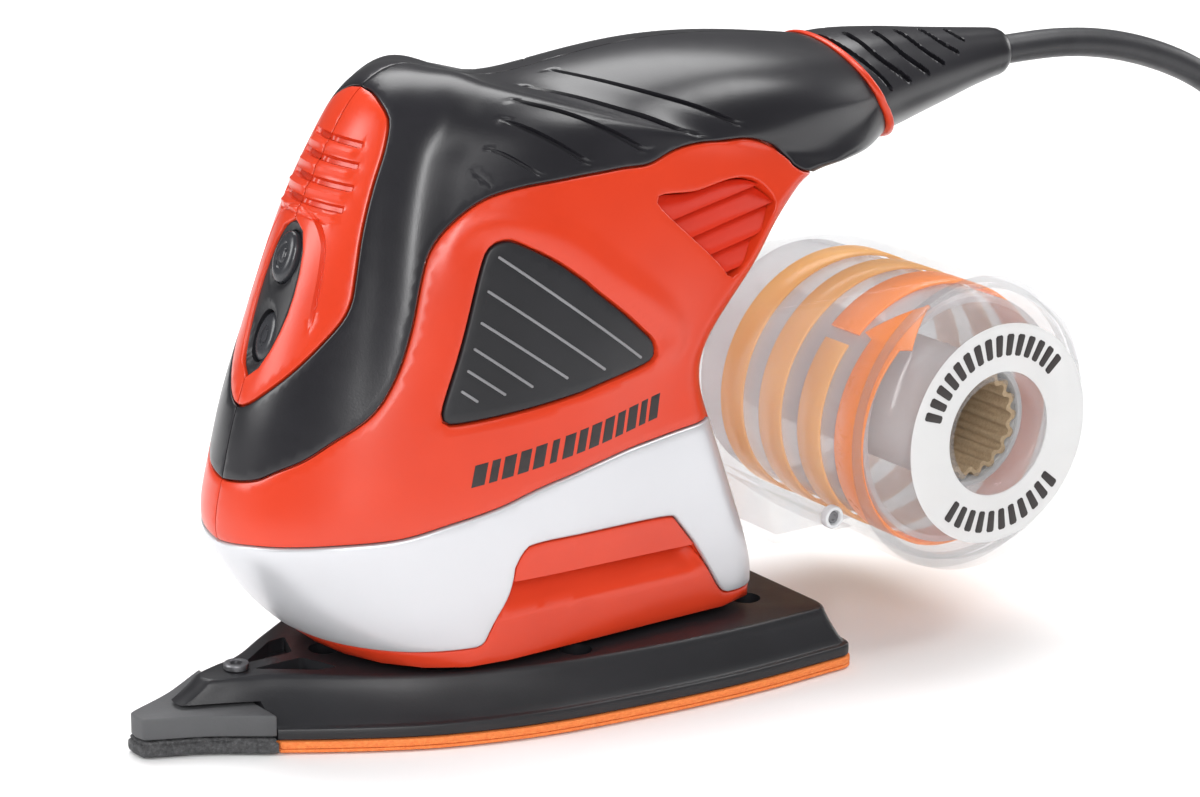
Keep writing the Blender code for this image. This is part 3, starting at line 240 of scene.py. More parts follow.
M["brass"] = metal("brass", (0.72, 0.52, 0.20), 0.24, (1, 1, 1))
m = Mat("cord_black")
m.colour(m.noise(14, 3), (0.3, (0.020, 0.020, 0.023)), (0.7, (0.030, 0.030, 0.034)))
m.rough(m.noise(3.0, 4), 0.38, 0.52)
m.bump(m.noise(1.2, 3), 0.04)
M["cord_black"] = m.m
m = Mat("ink")
m.colour(m.noise(2.0, 4), (0.3, (0.014, 0.011, 0.011)), (0.7, (0.028, 0.020, 0.020)))
m.rough(m.noise(2.0, 3), 0.4, 0.6)
M["ink"] = m.m


def swap(ob, slot, *nodes, mat=None, body=None):
    """The piece takes a material, rides on a body and stands for CAD nodes."""
    ob.data.materials.clear()
    ob.data.materials.append(M[mat or slot])
    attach(ob, body or BODY[nodes[0]])
    if nodes:
        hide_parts(*nodes)
        REPLACED.update(nodes)
    return ob


def smooth_faces(me, angle=35):
    me.polygons.foreach_set("use_smooth", [True] * len(me.polygons))
    me.set_sharp_from_angle(angle=math.radians(angle))


def mesh(name, verts, faces, weld=False, angle=35, fix=True):
    me = bpy.data.meshes.new(name)
    me.from_pydata([tuple(np.asarray(v, float) * MM) for v in verts], [], [tuple(int(i) for i in f) for f in faces])
    bm = bmesh.new()
    bm.from_mesh(me)
    if weld:
        bmesh.ops.remove_doubles(bm, verts=bm.verts, dist=1e-6)
    if fix:
        bmesh.ops.recalc_face_normals(bm, faces=bm.faces)
        if bm.calc_volume() < 0:
            bmesh.ops.reverse_faces(bm, faces=bm.faces)
    bm.to_mesh(me)
    bm.free()
    smooth_faces(me, angle)
    ob = bpy.data.objects.new(name, me)
    SCENE.collection.objects.link(ob)
    return ob


# ------------------------------------------------------------- the cord
COIL_X, COIL_Y, COIL_R = 297.0, -46.0, 44.0
LEAVE = math.radians(-75)
CORD_R = 4.0


def on_coil(deg, r, z):
    return (COIL_X + r * math.cos(math.radians(deg)), COIL_Y + r * math.sin(math.radians(deg)), z)


ROUTE = [(150, 0, 142.6), (168.6, 0, 142.5), (186.6, 0, 142.3), (205, 0, 140.1), (224, 0, 135),
         (243.7, 0, 126.3), (262, 0.5, 114), (280, 0, 99), (298, -2.5, 82), (316, -9.5, 66), (330, -22, 52),
         on_coil(8, 41.5, 41.5), on_coil(-20, 41, 34), on_coil(-45, 40.5, 30), on_coil(-66, 40.2, 28.8)]


def glide(x, a, b, va, vb):
    u = min(max((x - a) / (b - a), 0.0), 1.0)
    return va + (vb - va) * u * u * (3 - 2 * u)


TURN_END = -2235.0
THETA0 = -150.0
LEVELS = [(40.0, 20.2), (48.0, 20.2), (48.0, 12.15), (40.0, 12.15), (40.0, 4.1), (48.0, 4.1)]


def coil_at(deg):
    """Radius and height of the winding at an angle, clockwise from the top layer down."""
    r, z = LEVELS[0]
    if deg > THETA0:
        return 40.1, glide(-deg, 66, 150, 28.8, z)
    for i in range(1, 6):
        a = -THETA0 + 360.0 * i - (120 if i == 1 else 75)
        b = a + 60
        r1, z1 = LEVELS[i]
        r0, z0 = LEVELS[i - 1]
        r = glide(-deg, a, b, r, r1)
        z = glide(-deg, a, b, z, z1)
    return r, z


COIL = []
deg = -86.0
while deg > TURN_END + 8:
    r, z = coil_at(deg)
    COIL.append(on_coil(deg, r, z))
    deg -= 20.0
r_end, z_end = 48.0, 4.1
COIL.append(on_coil(TURN_END, r_end, z_end))
GO = Vector((math.sin(LEAVE), -math.cos(LEAVE), 0))
LEAVE_AT = Vector(on_coil(-75, 48, 4.1))
TAIL = [tuple(LEAVE_AT + GO * s) for s in (12, 24, 36.6)]
KNOTS = np.array(ROUTE + COIL + TAIL, float)


def spline_knots(p):
    """Natural cubic spline through the knots: tangents and spans."""
    h = np.linalg.norm(np.diff(p, axis=0), axis=1)
    n = len(p)
    a = np.zeros((n, n))
    r = np.zeros_like(p)
    a[0, 0] = a[-1, -1] = 1
    for i in range(1, n - 1):
        a[i, i - 1], a[i, i], a[i, i + 1] = h[i - 1], 2 * (h[i - 1] + h[i]), h[i]
        r[i] = 6 * ((p[i + 1] - p[i]) / h[i] - (p[i] - p[i - 1]) / h[i - 1])
    dd = np.linalg.solve(a, r)
    tan = np.zeros_like(p)
    for i in range(n - 1):
        tan[i] = (p[i + 1] - p[i]) / h[i] - h[i] * (2 * dd[i] + dd[i + 1]) / 6
    tan[-1] = (p[-1] - p[-2]) / h[-1] + h[-1] * (2 * dd[-1] + dd[-2]) / 6
    return tan, h


tan, span = spline_knots(KNOTS)
cu = bpy.data.curves.new("cord_curve", "CURVE")
cu.dimensions = "3D"
cu.resolution_u = 8
cu.bevel_depth = CORD_R * MM
cu.bevel_resolution = 6
cu.use_fill_caps = True
sp = cu.splines.new("BEZIER")
sp.bezier_points.add(len(KNOTS) - 1)
for i, q in enumerate(sp.bezier_points):
    q.handle_left_type = q.handle_right_type = "FREE"
    q.co = KNOTS[i] * MM
    q.handle_left = (KNOTS[i] - tan[i] * span[max(i - 1, 0)] / 3) * MM
    q.handle_right = (KNOTS[i] + tan[i] * span[min(i, len(span) - 1)] / 3) * MM
length = 0.0
for i in range(len(KNOTS) - 1):
    a, b, c, d = KNOTS[i], KNOTS[i] + tan[i] * span[i] / 3, KNOTS[i + 1] - tan[i + 1] * span[i] / 3, KNOTS[i + 1]
    t = np.linspace(0, 1, 33)[:, None]
    w = a * (1 - t) ** 3 + 3 * b * t * (1 - t) ** 2 + 3 * c * t * t * (1 - t) + d * t ** 3
    length += float(np.linalg.norm(np.diff(w, axis=0), axis=1).sum())
cord = bpy.data.objects.new("mains_cord", cu)
SCENE.collection.objects.link(cord)
swap(cord, "soft_black", "cord", "cord_coil", "cord_tail", mat="cord_black")


def rounded_section(s, w, h, z0, n=40, power=0.6):
    """Ring across the plug, s beyond the coil, standing on z0."""
    c = LEAVE_AT + GO * s
    side_dir = Vector((GO.y, -GO.x, 0))
    out = []
    for a in np.linspace(0, 2 * math.pi, n, endpoint=False):
        x = w * math.copysign(abs(math.cos(a)) ** power, math.cos(a))
        z = h * math.copysign(abs(math.sin(a)) ** power, math.sin(a))
        out.append((c.x + side_dir.x * x, c.y + side_dir.y * x, max(0.1, z0 + z)))
    return out


def loft(name, rings, close=False, caps=True, angle=35, grow=False):
    n, k = len(rings), len(rings[0])
    verts = [p for r in rings for p in r]
    faces = []
    for i in range(n if close else n - 1):
        j = (i + 1) % n
        for a in range(k):
            b = (a + 1) % k
            faces.append((i * k + a, i * k + b, j * k + b, j * k + a))
    if not close and caps:
        for base, flip in ((0, True), ((n - 1) * k, False)):
            mid = np.mean(np.array(verts[base:base + k]), axis=0)
            verts.append(tuple(mid))
            hub = len(verts) - 1
            for a in range(k):
                b = (a + 1) % k
                faces.append((base + b, base + a, hub) if flip else (base + a, base + b, hub))
    return mesh(name, verts, faces, angle=angle)


rings = []
for s in np.r_[36.3, np.linspace(37, 52, 31), np.linspace(52.5, 61, 14), np.linspace(62, 83, 22), np.linspace(83.4, 85.8, 7)]:
    rib = 0.0
    if s < 52:
        rib = 0.35 * math.cos((s - 37) / 3.0 * 2 * math.pi)
    w = np.interp(s, (36, 50, 54, 58, 61, 72, 83, 85.8), (4.3, 5.3, 7.4, 11.0, 12.4, 11.9, 12.6, 11.8)) + rib
    h = np.interp(s, (36, 50, 54, 58, 61, 83, 85.8), (3.6, 3.8, 4.6, 6.0, 6.6, 6.7, 6.1)) + rib * 0.4
    z0 = np.interp(s, (36, 50, 54, 58, 61, 86), (4.1, 4.1, 4.9, 6.5, 7.0, 7.1))
    rings.append(rounded_section(s, w, h, z0, power=0.75 if s < 52 else 0.6))
plug = swap(loft("mains_plug", rings, angle=40), "soft_black", "plug")

GAP = 0.3
ORBIT = 1.0
WALL, SKIN = 4.0, 1.2
CAN_X, CAN_Z, CAN_R, CAN_Y = 123.0, 57.0, 40.0, 45.0
# Outline of the pad, -Y half, from the tip to the rear.
PAD = [(-102.5, 0), (-102, -3), (-88, -9.5), (-74.2, -18.5), (-58, -28.5), (-41, -37.5), (-24, -43.6),
       (-8.6, -47.3), (8, -49.7), (31, -52), (52, -52.8), (77, -52), (81, -50), (82, -46), (82, 0)]
# Outline of the platen's flat top, -Y half, point for point with PAD.
PAD_TOP = [(-84, 0), (-83, -3), (-77, -5.5), (-68, -8.5), (-56, -17), (-39, -28), (-23, -35),
           (-8, -40), (8, -43.2), (31, -46), (51, -47), (72, -46.8), (75.5, -45), (76.5, -41), (76.5, 0)]

# The body is lofted on straight ribs that run from the front seam to the rear
# seam: front x, z; rear x, z; half width; front rounding; rear corner radius;
# half width at the rear.
RIBS = np.array([
    (-50.0, 18.0, 62.0, 18.0, 37.5, 30.0, 9.0, 36.5),
    (-64.0, 30.0, 60.5, 30.0, 40.3, 44.0, 9.0, 38.5),
    (-73.5, 42.5, 54.5, 46.0, 42.6, 62.0, 9.0, 40.0),
    (-78.5, 53.0, 47.0, 66.0, 43.6, 74.0, 9.0, 40.5),
    (-76.6, 66.0, 43.5, 78.0, 43.2, 76.0, 9.0, 39.5),
    (-72.5, 82.0, 45.0, 88.0, 42.3, 74.0, 9.0, 38.5),
    (-66.3, 99.0, 53.0, 98.0, 41.2, 70.0, 9.0, 37.5),
    (-59.8, 116.0, 62.5, 107.0, 39.6, 64.0, 9.0, 36.0),
    (-52.4, 133.0, 70.0, 115.0, 37.4, 58.0, 9.0, 34.0),
    (-45.0, 146.0, 77.0, 121.0, 35.0, 53.0, 9.0, 32.0),
    (-37.0, 157.0, 83.0, 124.3, 32.6, 52.0, 9.0, 30.0),
    (-25.0, 162.6, 88.5, 125.4, 31.0, 60.0, 9.0, 28.5),
    (-12.0, 159.6, 93.5, 125.8, 30.0, 60.0, 9.0, 27.5),
    (2.0, 156.8, 98.0, 126.0, 29.5, 56.0, 9.0, 26.5),
    (20.0, 158.3, 102.0, 126.1, 29.0, 50.0, 9.5, 25.5),
    (45.0, 160.3, 107.0, 126.2, 27.6, 38.0, 10.0, 24.0),
    (72.0, 159.2, 113.0, 126.4, 24.5, 27.0, 11.5, 21.5),
    (100.0, 155.2, 119.3, 126.7, 19.0, 17.3, 14.0, 18.5),
])
LAST = len(RIBS) - 1
T1, T2, T3 = 0.42, 0.72, 0.86      # front rounding, side, rear corner, rear wall


# ------------------------------------------------------------- body surface
def cubic(rows):
    """Second derivatives of the natural cubic spline through the ribs."""
    n = len(rows)
    m = np.eye(n)
    r = np.zeros_like(rows)
    for i in range(1, n - 1):
        m[i, i - 1:i + 2] = 1, 4, 1
        r[i] = 6 * (rows[i + 1] - 2 * rows[i] + rows[i - 1])
    return np.linalg.solve(m, r)


BEND = cubic(RIBS)


def rib(k):
    k = np.clip(np.asarray(k, float), 0, LAST)
    i = np.minimum(k.astype(int), LAST - 1)
    t = (k - i)[..., None]
    s = 1 - t
    return s * RIBS[i] + t * RIBS[i + 1] + ((s**3 - s) * BEND[i] + (t**3 - t) * BEND[i + 1]) / 6


def surf(k, tau):
    """Point of the -Y half at rib k and place tau: 0 front seam, 1 rear seam."""
    k, tau = np.broadcast_arrays(np.asarray(k, float), np.asarray(tau, float))
    cx, cz, bx, bz, w, a, b, wr = np.moveaxis(rib(k), -1, 0)
    length = np.hypot(bx - cx, bz - cz)
    p = np.clip(tau / T1, 0, 1) * math.pi / 2
    q, y = a * (1 - np.cos(p)), w * np.sin(p)
    u = np.clip((tau - T1) / (T2 - T1), 0, 1)
    q = np.where(tau > T1, a + u * (length - b - a), q)
    y = np.where(tau > T1, w + (wr - w) * u * u * (3 - 2 * u), y)
    p = np.clip((tau - T2) / (T3 - T2), 0, 1) * math.pi / 2
    q = np.where(tau > T2, length - b + b * np.sin(p), q)
    y = np.where(tau > T2, wr - b * (1 - np.cos(p)), y)
    u = np.clip((tau - T3) / (1 - T3), 0, 1)
    y = np.where(tau > T3, (wr - b) * (1 - u), y)
    return np.stack([cx + (bx - cx) * q / length, -y, cz + (bz - cz) * q / length], -1)


def slopes(k, tau):
    k = np.asarray(k, float)
    tau = np.asarray(tau, float)
    e, f = 1e-3, 1e-4
    k0, k1 = np.clip(k - e, 0, LAST), np.clip(k + e, 0, LAST)
    t0, t1 = np.clip(tau - f, 0, 1), np.clip(tau + f, 0, 1)
    return ((surf(k1, tau) - surf(k0, tau)) / (k1 - k0)[..., None],
            (surf(k, t1) - surf(k, t0)) / (t1 - t0)[..., None])


def normal(k, tau):
    sk, st = slopes(k, tau)
    n = np.cross(sk, st)
    return n / np.linalg.norm(n, axis=-1)[..., None] * FACING


FACING = 1.0
if normal(np.array([4.0]), np.array([0.5]))[0][1] > 0:
    FACING = -1.0

GRID_K, GRID_T = (g.ravel() for g in np.meshgrid(np.linspace(0, LAST, 137), np.linspace(0, 0.72, 73), indexing="ij"))
GRID_P = surf(GRID_K, GRID_T)


def place(x=None, y=None, z=None):
    """Rib and place on the -Y half of the point with the two coordinates given."""
    axes = [i for i, v in enumerate((x, y, z)) if v is not None]
    want = np.array([v for v in (x, y, z) if v is not None], float)
    ok = (GRID_T < 0.45) & (GRID_K < 10.6) if x is None else (GRID_T > 0.05)
    top = 10.6 if x is None else LAST
    d = ((GRID_P[:, axes] - want) ** 2).sum(1) + np.where(ok, 0, 1e6)
    i = int(np.argmin(d))
    k, t = GRID_K[i], GRID_T[i]
    for _ in range(12):
        r = surf(k, t)[axes] - want
        sk, st = slopes(np.array(k), np.array(t))
        m = np.stack([sk[axes], st[axes]], 1)
        step = np.linalg.lstsq(m, -r, rcond=None)[0]
        k = float(np.clip(k + np.clip(step[0], -1, 1), 0, top))
        t = float(np.clip(t + np.clip(step[1], -0.1, 0.1), 0, 0.999))
    return k, t


def side(points):
    return [place(x=x, z=z) for x, z in points]


def front(points):
    return [place(y=y, z=z) for y, z in points]


def run(points, step=6.0, closed=False):
    """Smooth curve on the body through the points, a point every step."""
    p = np.array(points, float)
    n = len(p)
    if n == 2 and not closed:
        spans = [(p[0], p[0], p[1], p[1])]
    else:
        idx = range(n) if closed else range(n - 1)
        spans = []
        for i in idx:
            if closed:
                spans.append((p[i - 1], p[i], p[(i + 1) % n], p[(i + 2) % n]))
            else:
                spans.append((p[max(i - 1, 0)], p[i], p[i + 1], p[min(i + 2, n - 1)]))
    fine = []
    for a, b, c, d in spans:
        for t in np.linspace(0, 1, 24, endpoint=False):
            if n == 2:
                fine.append(b + (c - b) * t)
            else:
                fine.append(0.5 * (2 * b + (c - a) * t + (2 * a - 5 * b + 4 * c - d) * t * t
                                   + (3 * b - a - 3 * c + d) * t ** 3))
    fine.append(p[0] if closed else p[-1])
    fine = np.array(fine)
    world = surf(np.clip(fine[:, 0], 0, LAST), np.clip(fine[:, 1], 0, 1))
    s = np.r_[0, np.cumsum(np.linalg.norm(np.diff(world, axis=0), axis=1))]
    if s[-1] < 1e-6:
        s = np.r_[0, np.cumsum(np.linalg.norm(np.diff(fine, axis=0), axis=1))]
    count = max(1, int(round(s[-1] / step)))
    at = np.linspace(0, s[-1], count + 1)
    out = np.stack([np.interp(at, s, fine[:, 0]), np.interp(at, s, fine[:, 1])], 1)
    return out[:-1] if closed else out


def chain(*runs):
    """Joins runs end to end into one closed outline."""
    out = []
    for r in runs:
        for q in r:
            if not out or np.abs(np.array(q) - out[-1]).max() > 1e-6:
                out.append(np.array(q, float))
    if np.abs(out[0] - out[-1]).max() < 1e-6:
        out.pop()
    return np.array(out)


def area(loop):
    x, y = loop[:, 0], loop[:, 1]
    return 0.5 * float((x * np.roll(y, -1) - np.roll(x, -1) * y).sum())


def inset(loop, dist):
    """The outline moved inwards over the body by dist."""
    loop = np.array(loop, float)
    ccw = area(loop) > 0
    k, t = np.clip(loop[:, 0], 0, LAST), np.clip(loop[:, 1], 0, 1)
    sk, st = slopes(k, t)
    n = normal(k, t)
    out = []
    count = len(loop)
    for i in range(count):
        def tangent(a, b):
            v = sk[i] * (b[0] - a[0]) + st[i] * (b[1] - a[1])
            return v / (np.linalg.norm(v) + 1e-12)
        ta, tb = tangent(loop[i - 1], loop[i]), tangent(loop[i], loop[(i + 1) % count])
        pa, pb = np.cross(n[i], ta), np.cross(n[i], tb)
        mid = pa + pb
        mid /= np.linalg.norm(mid) + 1e-12
        mid *= min(1 / max(0.35, float(mid @ pa)), 2.2) * dist
        m = np.stack([sk[i], st[i]], 1)
        dk = np.linalg.lstsq(m, mid, rcond=None)[0]
        out.append(loop[i] + dk)
    moved = np.array(out)
    if (abs(area(moved)) > abs(area(loop))) == (dist > 0):
        moved = 2 * loop - moved
    return moved


def inside(loop, pts):
    pts = np.atleast_2d(pts)
    x, y = pts[:, 0], pts[:, 1]
    hit = np.zeros(len(pts), bool)
    j = len(loop) - 1
    for i in range(len(loop)):
        xi, yi, xj, yj = loop[i][0], loop[i][1], loop[j][0], loop[j][1]
        cond = (yi > y) != (yj > y)
        with np.errstate(divide="ignore", invalid="ignore"):
            hit ^= cond & (x < (xj - xi) * (y - yi) / (yj - yi + 1e-300) + xi)
        j = i
    return hit


FLAT = np.array([14.0, 230.0])
COLLAR_DIR = np.array((RIBS[-1][1] - RIBS[-1][3], 0, RIBS[-1][2] - RIBS[-1][0]))
COLLAR_DIR /= np.linalg.norm(COLLAR_DIR)


# ------------------------------------------------------------ body outlines
LINE_WHITE = front([(0, 50.6), (-8.6, 51.6), (-14.1, 52.2)]) + side(
    [(-62.6, 53.7), (-47.9, 55), (-36, 57.7), (-23.4, 60.4), (-6.6, 64.8), (12.2, 68), (25.6, 69.3), (36, 70.3)])
LINE_WHITE[0] = (LINE_WHITE[0][0], 0.0)
REAR_WHITE = [LINE_WHITE[-1], (3.36, 0.80)]
BUMPER_REAR = [(3.36, 0.80), (0.36, 0.80)]
CUTOUT_REAR = side([(50.5, 21.9), (47.5, 24)]) + side([(38.4, 37.5), (31.3, 46.4)])
CUTOUT_TOP = side([(31.3, 46.4), (27.2, 47.7), (0.7, 48.9), (-13, 49.1), (-16.5, 47.5), (-18.5, 44)])
CUTOUT_FRONT = side([(-18.5, 44), (-20.7, 34.8), (-25, 25.5), (-27.5, 23.6)])
BUMPER_LOW = side([(-27.5, 23.6), (-38.4, 23.4), (-44, 23.4)]) + front([(-13.9, 23.7), (-5.6, 24.2), (0, 24.4)])
BUMPER_LOW[-1] = (BUMPER_LOW[-1][0], 0.0)

GRIP_LOW = front([(0, 65.8), (-10.5, 67.7), (-15.6, 70.6), (-20.7, 74), (-24.3, 78.1), (-29, 84.8)]) + side(
    [(-45.7, 93.3), (-40.7, 105.3), (-37.1, 117.4), (-34.4, 123.7), (-29.5, 129.1), (-20.8, 134.5), (-11, 136.5),
     (1.4, 137.1), (17.2, 137.2), (30.7, 137.5), (49.2, 139.1), (59.3, 138.2), (68.7, 134.9), (73.6, 131.6), (77.2, 128.2)])
GRIP_LOW[0] = (GRIP_LOW[0][0], 0.0)
GRIP_REAR = [GRIP_LOW[-1], (10.45, 0.78), (10.35, 0.88), (10.3, 1.0)]
SHIELD = front([(0, 158.3), (-5, 157.6), (-11, 154.4), (-13.5, 151.5), (-15.2, 146.3), (-16.4, 139), (-17.5, 132.1),
                (-18.4, 126.2)]) + front([(-19.9, 117), (-20.5, 110.8), (-19.1, 105), (-13.3, 94.7), (-5, 86.3), (0, 84)])
SHIELD[0], SHIELD[-1] = (SHIELD[0][0], 0.0), (SHIELD[-1][0], 0.0)
PANEL = side([(-36.3, 84.7), (-34.7, 89.4), (-29, 104), (-23.2, 120.3), (-20.6, 123.9), (-17.2, 125), (-13.5, 124),
              (-3.4, 118.2), (8, 109), (19.7, 99), (24.7, 94.2), (25.5, 91), (23.1, 88.3), (6.2, 86), (-14, 83.3),
              (-32.2, 81.7), (-35.7, 82.5)])
VENT = side([(28.4, 127.6), (42.6, 128.4), (60, 128.8), (67.5, 122), (66, 118.5), (59, 111), (51.6, 105.5), (47.5, 109)])
BEZEL = front([(0, 128.4), (-2.6, 127.6), (-5.5, 124.2), (-7.2, 118), (-7.8, 112), (-7.5, 105.8), (-6, 99), (-3.6, 93.6), (0, 90.8)])
BEZEL[0], BEZEL[-1] = (BEZEL[0][0], 0.0), (BEZEL[-1][0], 0.0)

edge = lambda *p: run(list(p), 11.0)
BUMPER_LOOP = chain(run(LINE_WHITE, 7), edge(*REAR_WHITE), edge(*BUMPER_REAR), edge((0.36, 0.80), CUTOUT_REAR[0]),
                    run(CUTOUT_REAR, 6), run(CUTOUT_TOP, 6), run(CUTOUT_FRONT, 6),
                    run(BUMPER_LOW, 7))
GRIP_LOOP = chain(run(GRIP_LOW + GRIP_REAR[1:], 4.5), edge((10.3, 1.0), (LAST, 1.0)), edge((LAST, 1.0), (LAST, 0.0)),
                  edge((LAST, 0.0), SHIELD[0]), run(SHIELD, 7))
PANEL_LOOP = run(PANEL, 6, closed=True)
VENT_LOOP = run(VENT, 5, closed=True)
BEZEL_RUN = run(BEZEL, 5)
BEZEL_LOOP = chain(BEZEL_RUN)
DUCT = [(2.25, 1.0), (2.25, 0.945), (3.25, 0.945), (3.25, 1.0)]



def stretched(loop, closed_edges=True):
    """Outline carried a little past the seams and the collar, for recesses."""
    out = loop.copy()
    out[out[:, 1] < 1e-6, 1] = -0.02
    out[out[:, 1] > 1 - 1e-6, 1] = 1.02
    out[out[:, 0] > LAST - 1e-6, 0] = LAST + 0.2
    return out


def fitted(loop, d):
    """Outline drawn in by d, but not along the seams and the collar."""
    out = inset(loop, d)
    out[loop[:, 1] < 1e-6, 1] = 0.0
    out[loop[:, 1] > 1 - 1e-6, 1] = 1.0
    out[loop[:, 0] > LAST - 1e-6, 0] = LAST
    return out



SHELL = chain(edge((0, 0), (BEZEL[-1][0], 0.0)), BEZEL_RUN[::-1], edge((BEZEL[0][0], 0.0), (LAST, 0)),
              edge((LAST, 0), (LAST, 1)), edge((LAST, 1), DUCT[3]), edge(DUCT[3], DUCT[2]), edge(DUCT[2], DUCT[1]),
              edge(DUCT[1], DUCT[0]), edge(DUCT[0], (0, 1)), edge((0, 1), (0, 0)))
RECESS = -(SKIN + 1.0)      # the skin's chords need a little more room than its gap

# ------------------------------------------------- fine skins over the body
def base_world(p, d=0.0, limit=-0.15, seam=True):
    k, t = np.clip(p[:, 0], 0, LAST), np.clip(p[:, 1], 0, 1)
    n = normal(k, t)
    for at, plane in ((k > LAST - 1e-6, COLLAR_DIR), (k < 1e-6, np.array((0, 0, 1.0)))):
        n[at] -= (n[at] @ plane)[:, None] * plane
        n[at] /= np.linalg.norm(n[at], axis=1)[:, None]
    w = surf(k, t) + n * (np.zeros(len(p)) + d)[:, None]
    if seam:
        w[:, 1] = np.minimum(w[:, 1], limit)
        w[(t < 1e-5) | (t > 1 - 1e-5), 1] = limit
    return w


def dense(path, closed, step=0.5):
    p = np.asarray(path, float)
    q = np.r_[p, p[:1]] if closed else p
    w = surf(np.clip(q[:, 0], 0, LAST), np.clip(q[:, 1], 0, 1))
    out = []
    for i in range(len(q) - 1):
        m = max(1, int(math.ceil(np.linalg.norm(w[i + 1] - w[i]) / step)))
        for j in range(m):
            out.append(q[i] + (q[i + 1] - q[i]) * j / m)
    out.append(q[-1])
    return np.array(out)


def tree_of(pts):
    tree = KDTree(len(pts))
    for i, p in enumerate(pts):
        tree.insert(p, i)
    tree.balance()
    return tree


def distances(pts, to, far=1e3):
    """Distance from each point to the nearest of a set, and which one it is."""
    tree = tree_of(to)
    d, which = np.empty(len(pts)), np.empty(len(pts), int)
    for i, p in enumerate(pts):
        _, j, dist = tree.find(p)
        d[i], which[i] = dist, j
    return d, which


def shift(path, dist):
    """An open line moved sideways over the body."""
    p = np.asarray(path, float)
    k, t = np.clip(p[:, 0], 0, LAST), np.clip(p[:, 1], 0, 1)
    sk, st = slopes(k, t)
    n = normal(k, t)
    dk = np.gradient(p, axis=0)
    out = []
    for i in range(len(p)):
        v = sk[i] * dk[i, 0] + st[i] * dk[i, 1]
        s = np.cross(n[i], v / (np.linalg.norm(v) + 1e-12)) * dist
        out.append(p[i] + np.linalg.lstsq(np.stack([sk[i], st[i]], 1), s, rcond=None)[0])
    return np.array(out)


class Relief:
    """A line on the body that is cut in (negative height) or stands out."""

    def __init__(self, points, half, height, taper=3.0, step=2.0, lines=True, shape="soft"):
        self.path = run(list(points), step)
        self.half, self.height, self.taper, self.shape = half, height, taper, shape
        self.lines = [self.path, shift(self.path, half * 0.5), shift(self.path, -half * 0.5),
                      shift(self.path, half), shift(self.path, -half)] if lines else []
        self.at = surf(*np.clip(dense(self.path, False, 0.3), 0, (LAST, 1)).T)
        self.s = np.r_[0, np.cumsum(np.linalg.norm(np.diff(self.at, axis=0), axis=1))]

    def offset(self, world):
        out = np.zeros(len(world))
        lo, hi = self.at.min(0) - self.half, self.at.max(0) + self.half
        near = np.nonzero(((world > lo) & (world < hi)).all(1))[0]
        if not len(near):
            return out
        d, j = distances(world[near], self.at)
        u = np.clip(d / self.half, 0, 1)
        f = 1 - u * u * (3 - 2 * u) if self.shape == "soft" else np.clip(2.2 * (1 - u), 0, 1)
        s = self.s[j]
        end = np.clip(np.minimum(s, self.s[-1] - s) / self.taper + 0.02, 0, 1)
        out[near] = self.height * f * np.sqrt(end)
        return out


def edge_samples(loop, closed=True):
    """Points along an outline, the ones on the seam apart from the rest."""
    q = dense(loop, closed, 0.35)
    seam = (q[:, 1] < 1e-5) | (q[:, 1] > 1 - 1e-5)
    collar = q[:, 0] > LAST - 1e-6
    w = surf(np.clip(q[:, 0], 0, LAST), np.clip(q[:, 1], 0, 1))
    return w[~seam & ~collar], w[seam]


def rolled(dist, r):
    u = np.clip(dist, 0, r)
    return r - np.sqrt(np.maximum(r * r - (r - u) ** 2, 0))


def fine_net(loops, lines, cell, keep):
    verts, edges = [], []
    for loop in loops:
        base = len(verts)
        verts += [tuple(p * FLAT) for p in loop]
        edges += [(base + i, base + (i + 1) % len(loop)) for i in range(len(loop))]
    for line in lines:
        base = len(verts)
        verts += [tuple(p * FLAT) for p in line]
        edges += [(base + i, base + i + 1) for i in range(len(line) - 1)]
    v = np.array(verts)
    samples = []
    for a, b in edges:
        m = max(1, int(np.linalg.norm(v[b] - v[a]) / (cell * 0.3)))
        for j in range(m):
            samples.append(v[a] + (v[b] - v[a]) * j / m)
    samples = np.array(samples)
    lo, hi = v.min(0), v.max(0)
    gx = np.arange(max(lo[0], 0) + cell * 0.5, min(hi[0], LAST * FLAT[0]), cell * 0.87)
    gy = np.arange(max(lo[1], 0) + cell * 0.5, min(hi[1], FLAT[1]), cell)
    pts = np.array([(x, y + (cell / 2 if i % 2 else 0)) for i, x in enumerate(gx) for y in gy])
    pts = pts[(pts[:, 1] < FLAT[1] - cell * 0.3)]
    pts = pts[keep(pts / FLAT)]
    if len(pts):
        d, _ = distances(np.c_[pts, np.zeros(len(pts))], np.c_[samples, np.zeros(len(samples))])
        verts += [tuple(q) for q in pts[d > cell * 0.45]]
    vo, _, fo, _, _, _ = delaunay_2d_cdt([Vector(q) for q in verts], edges, [], 0, 1e-4, True)
    out = np.array([tuple(q) for q in vo]) / FLAT
    faces = np.array([f for f in fo if len(f) == 3])
    mid = out[faces].mean(1)
    return out, faces[keep(mid)]


SEAM_ROLL = 0.28
SEAM_LINES = [np.stack([np.linspace(0, LAST, 120), np.full(120, t)], 1) for t in (0.0006, 0.0018, 0.9988, 0.9996)]


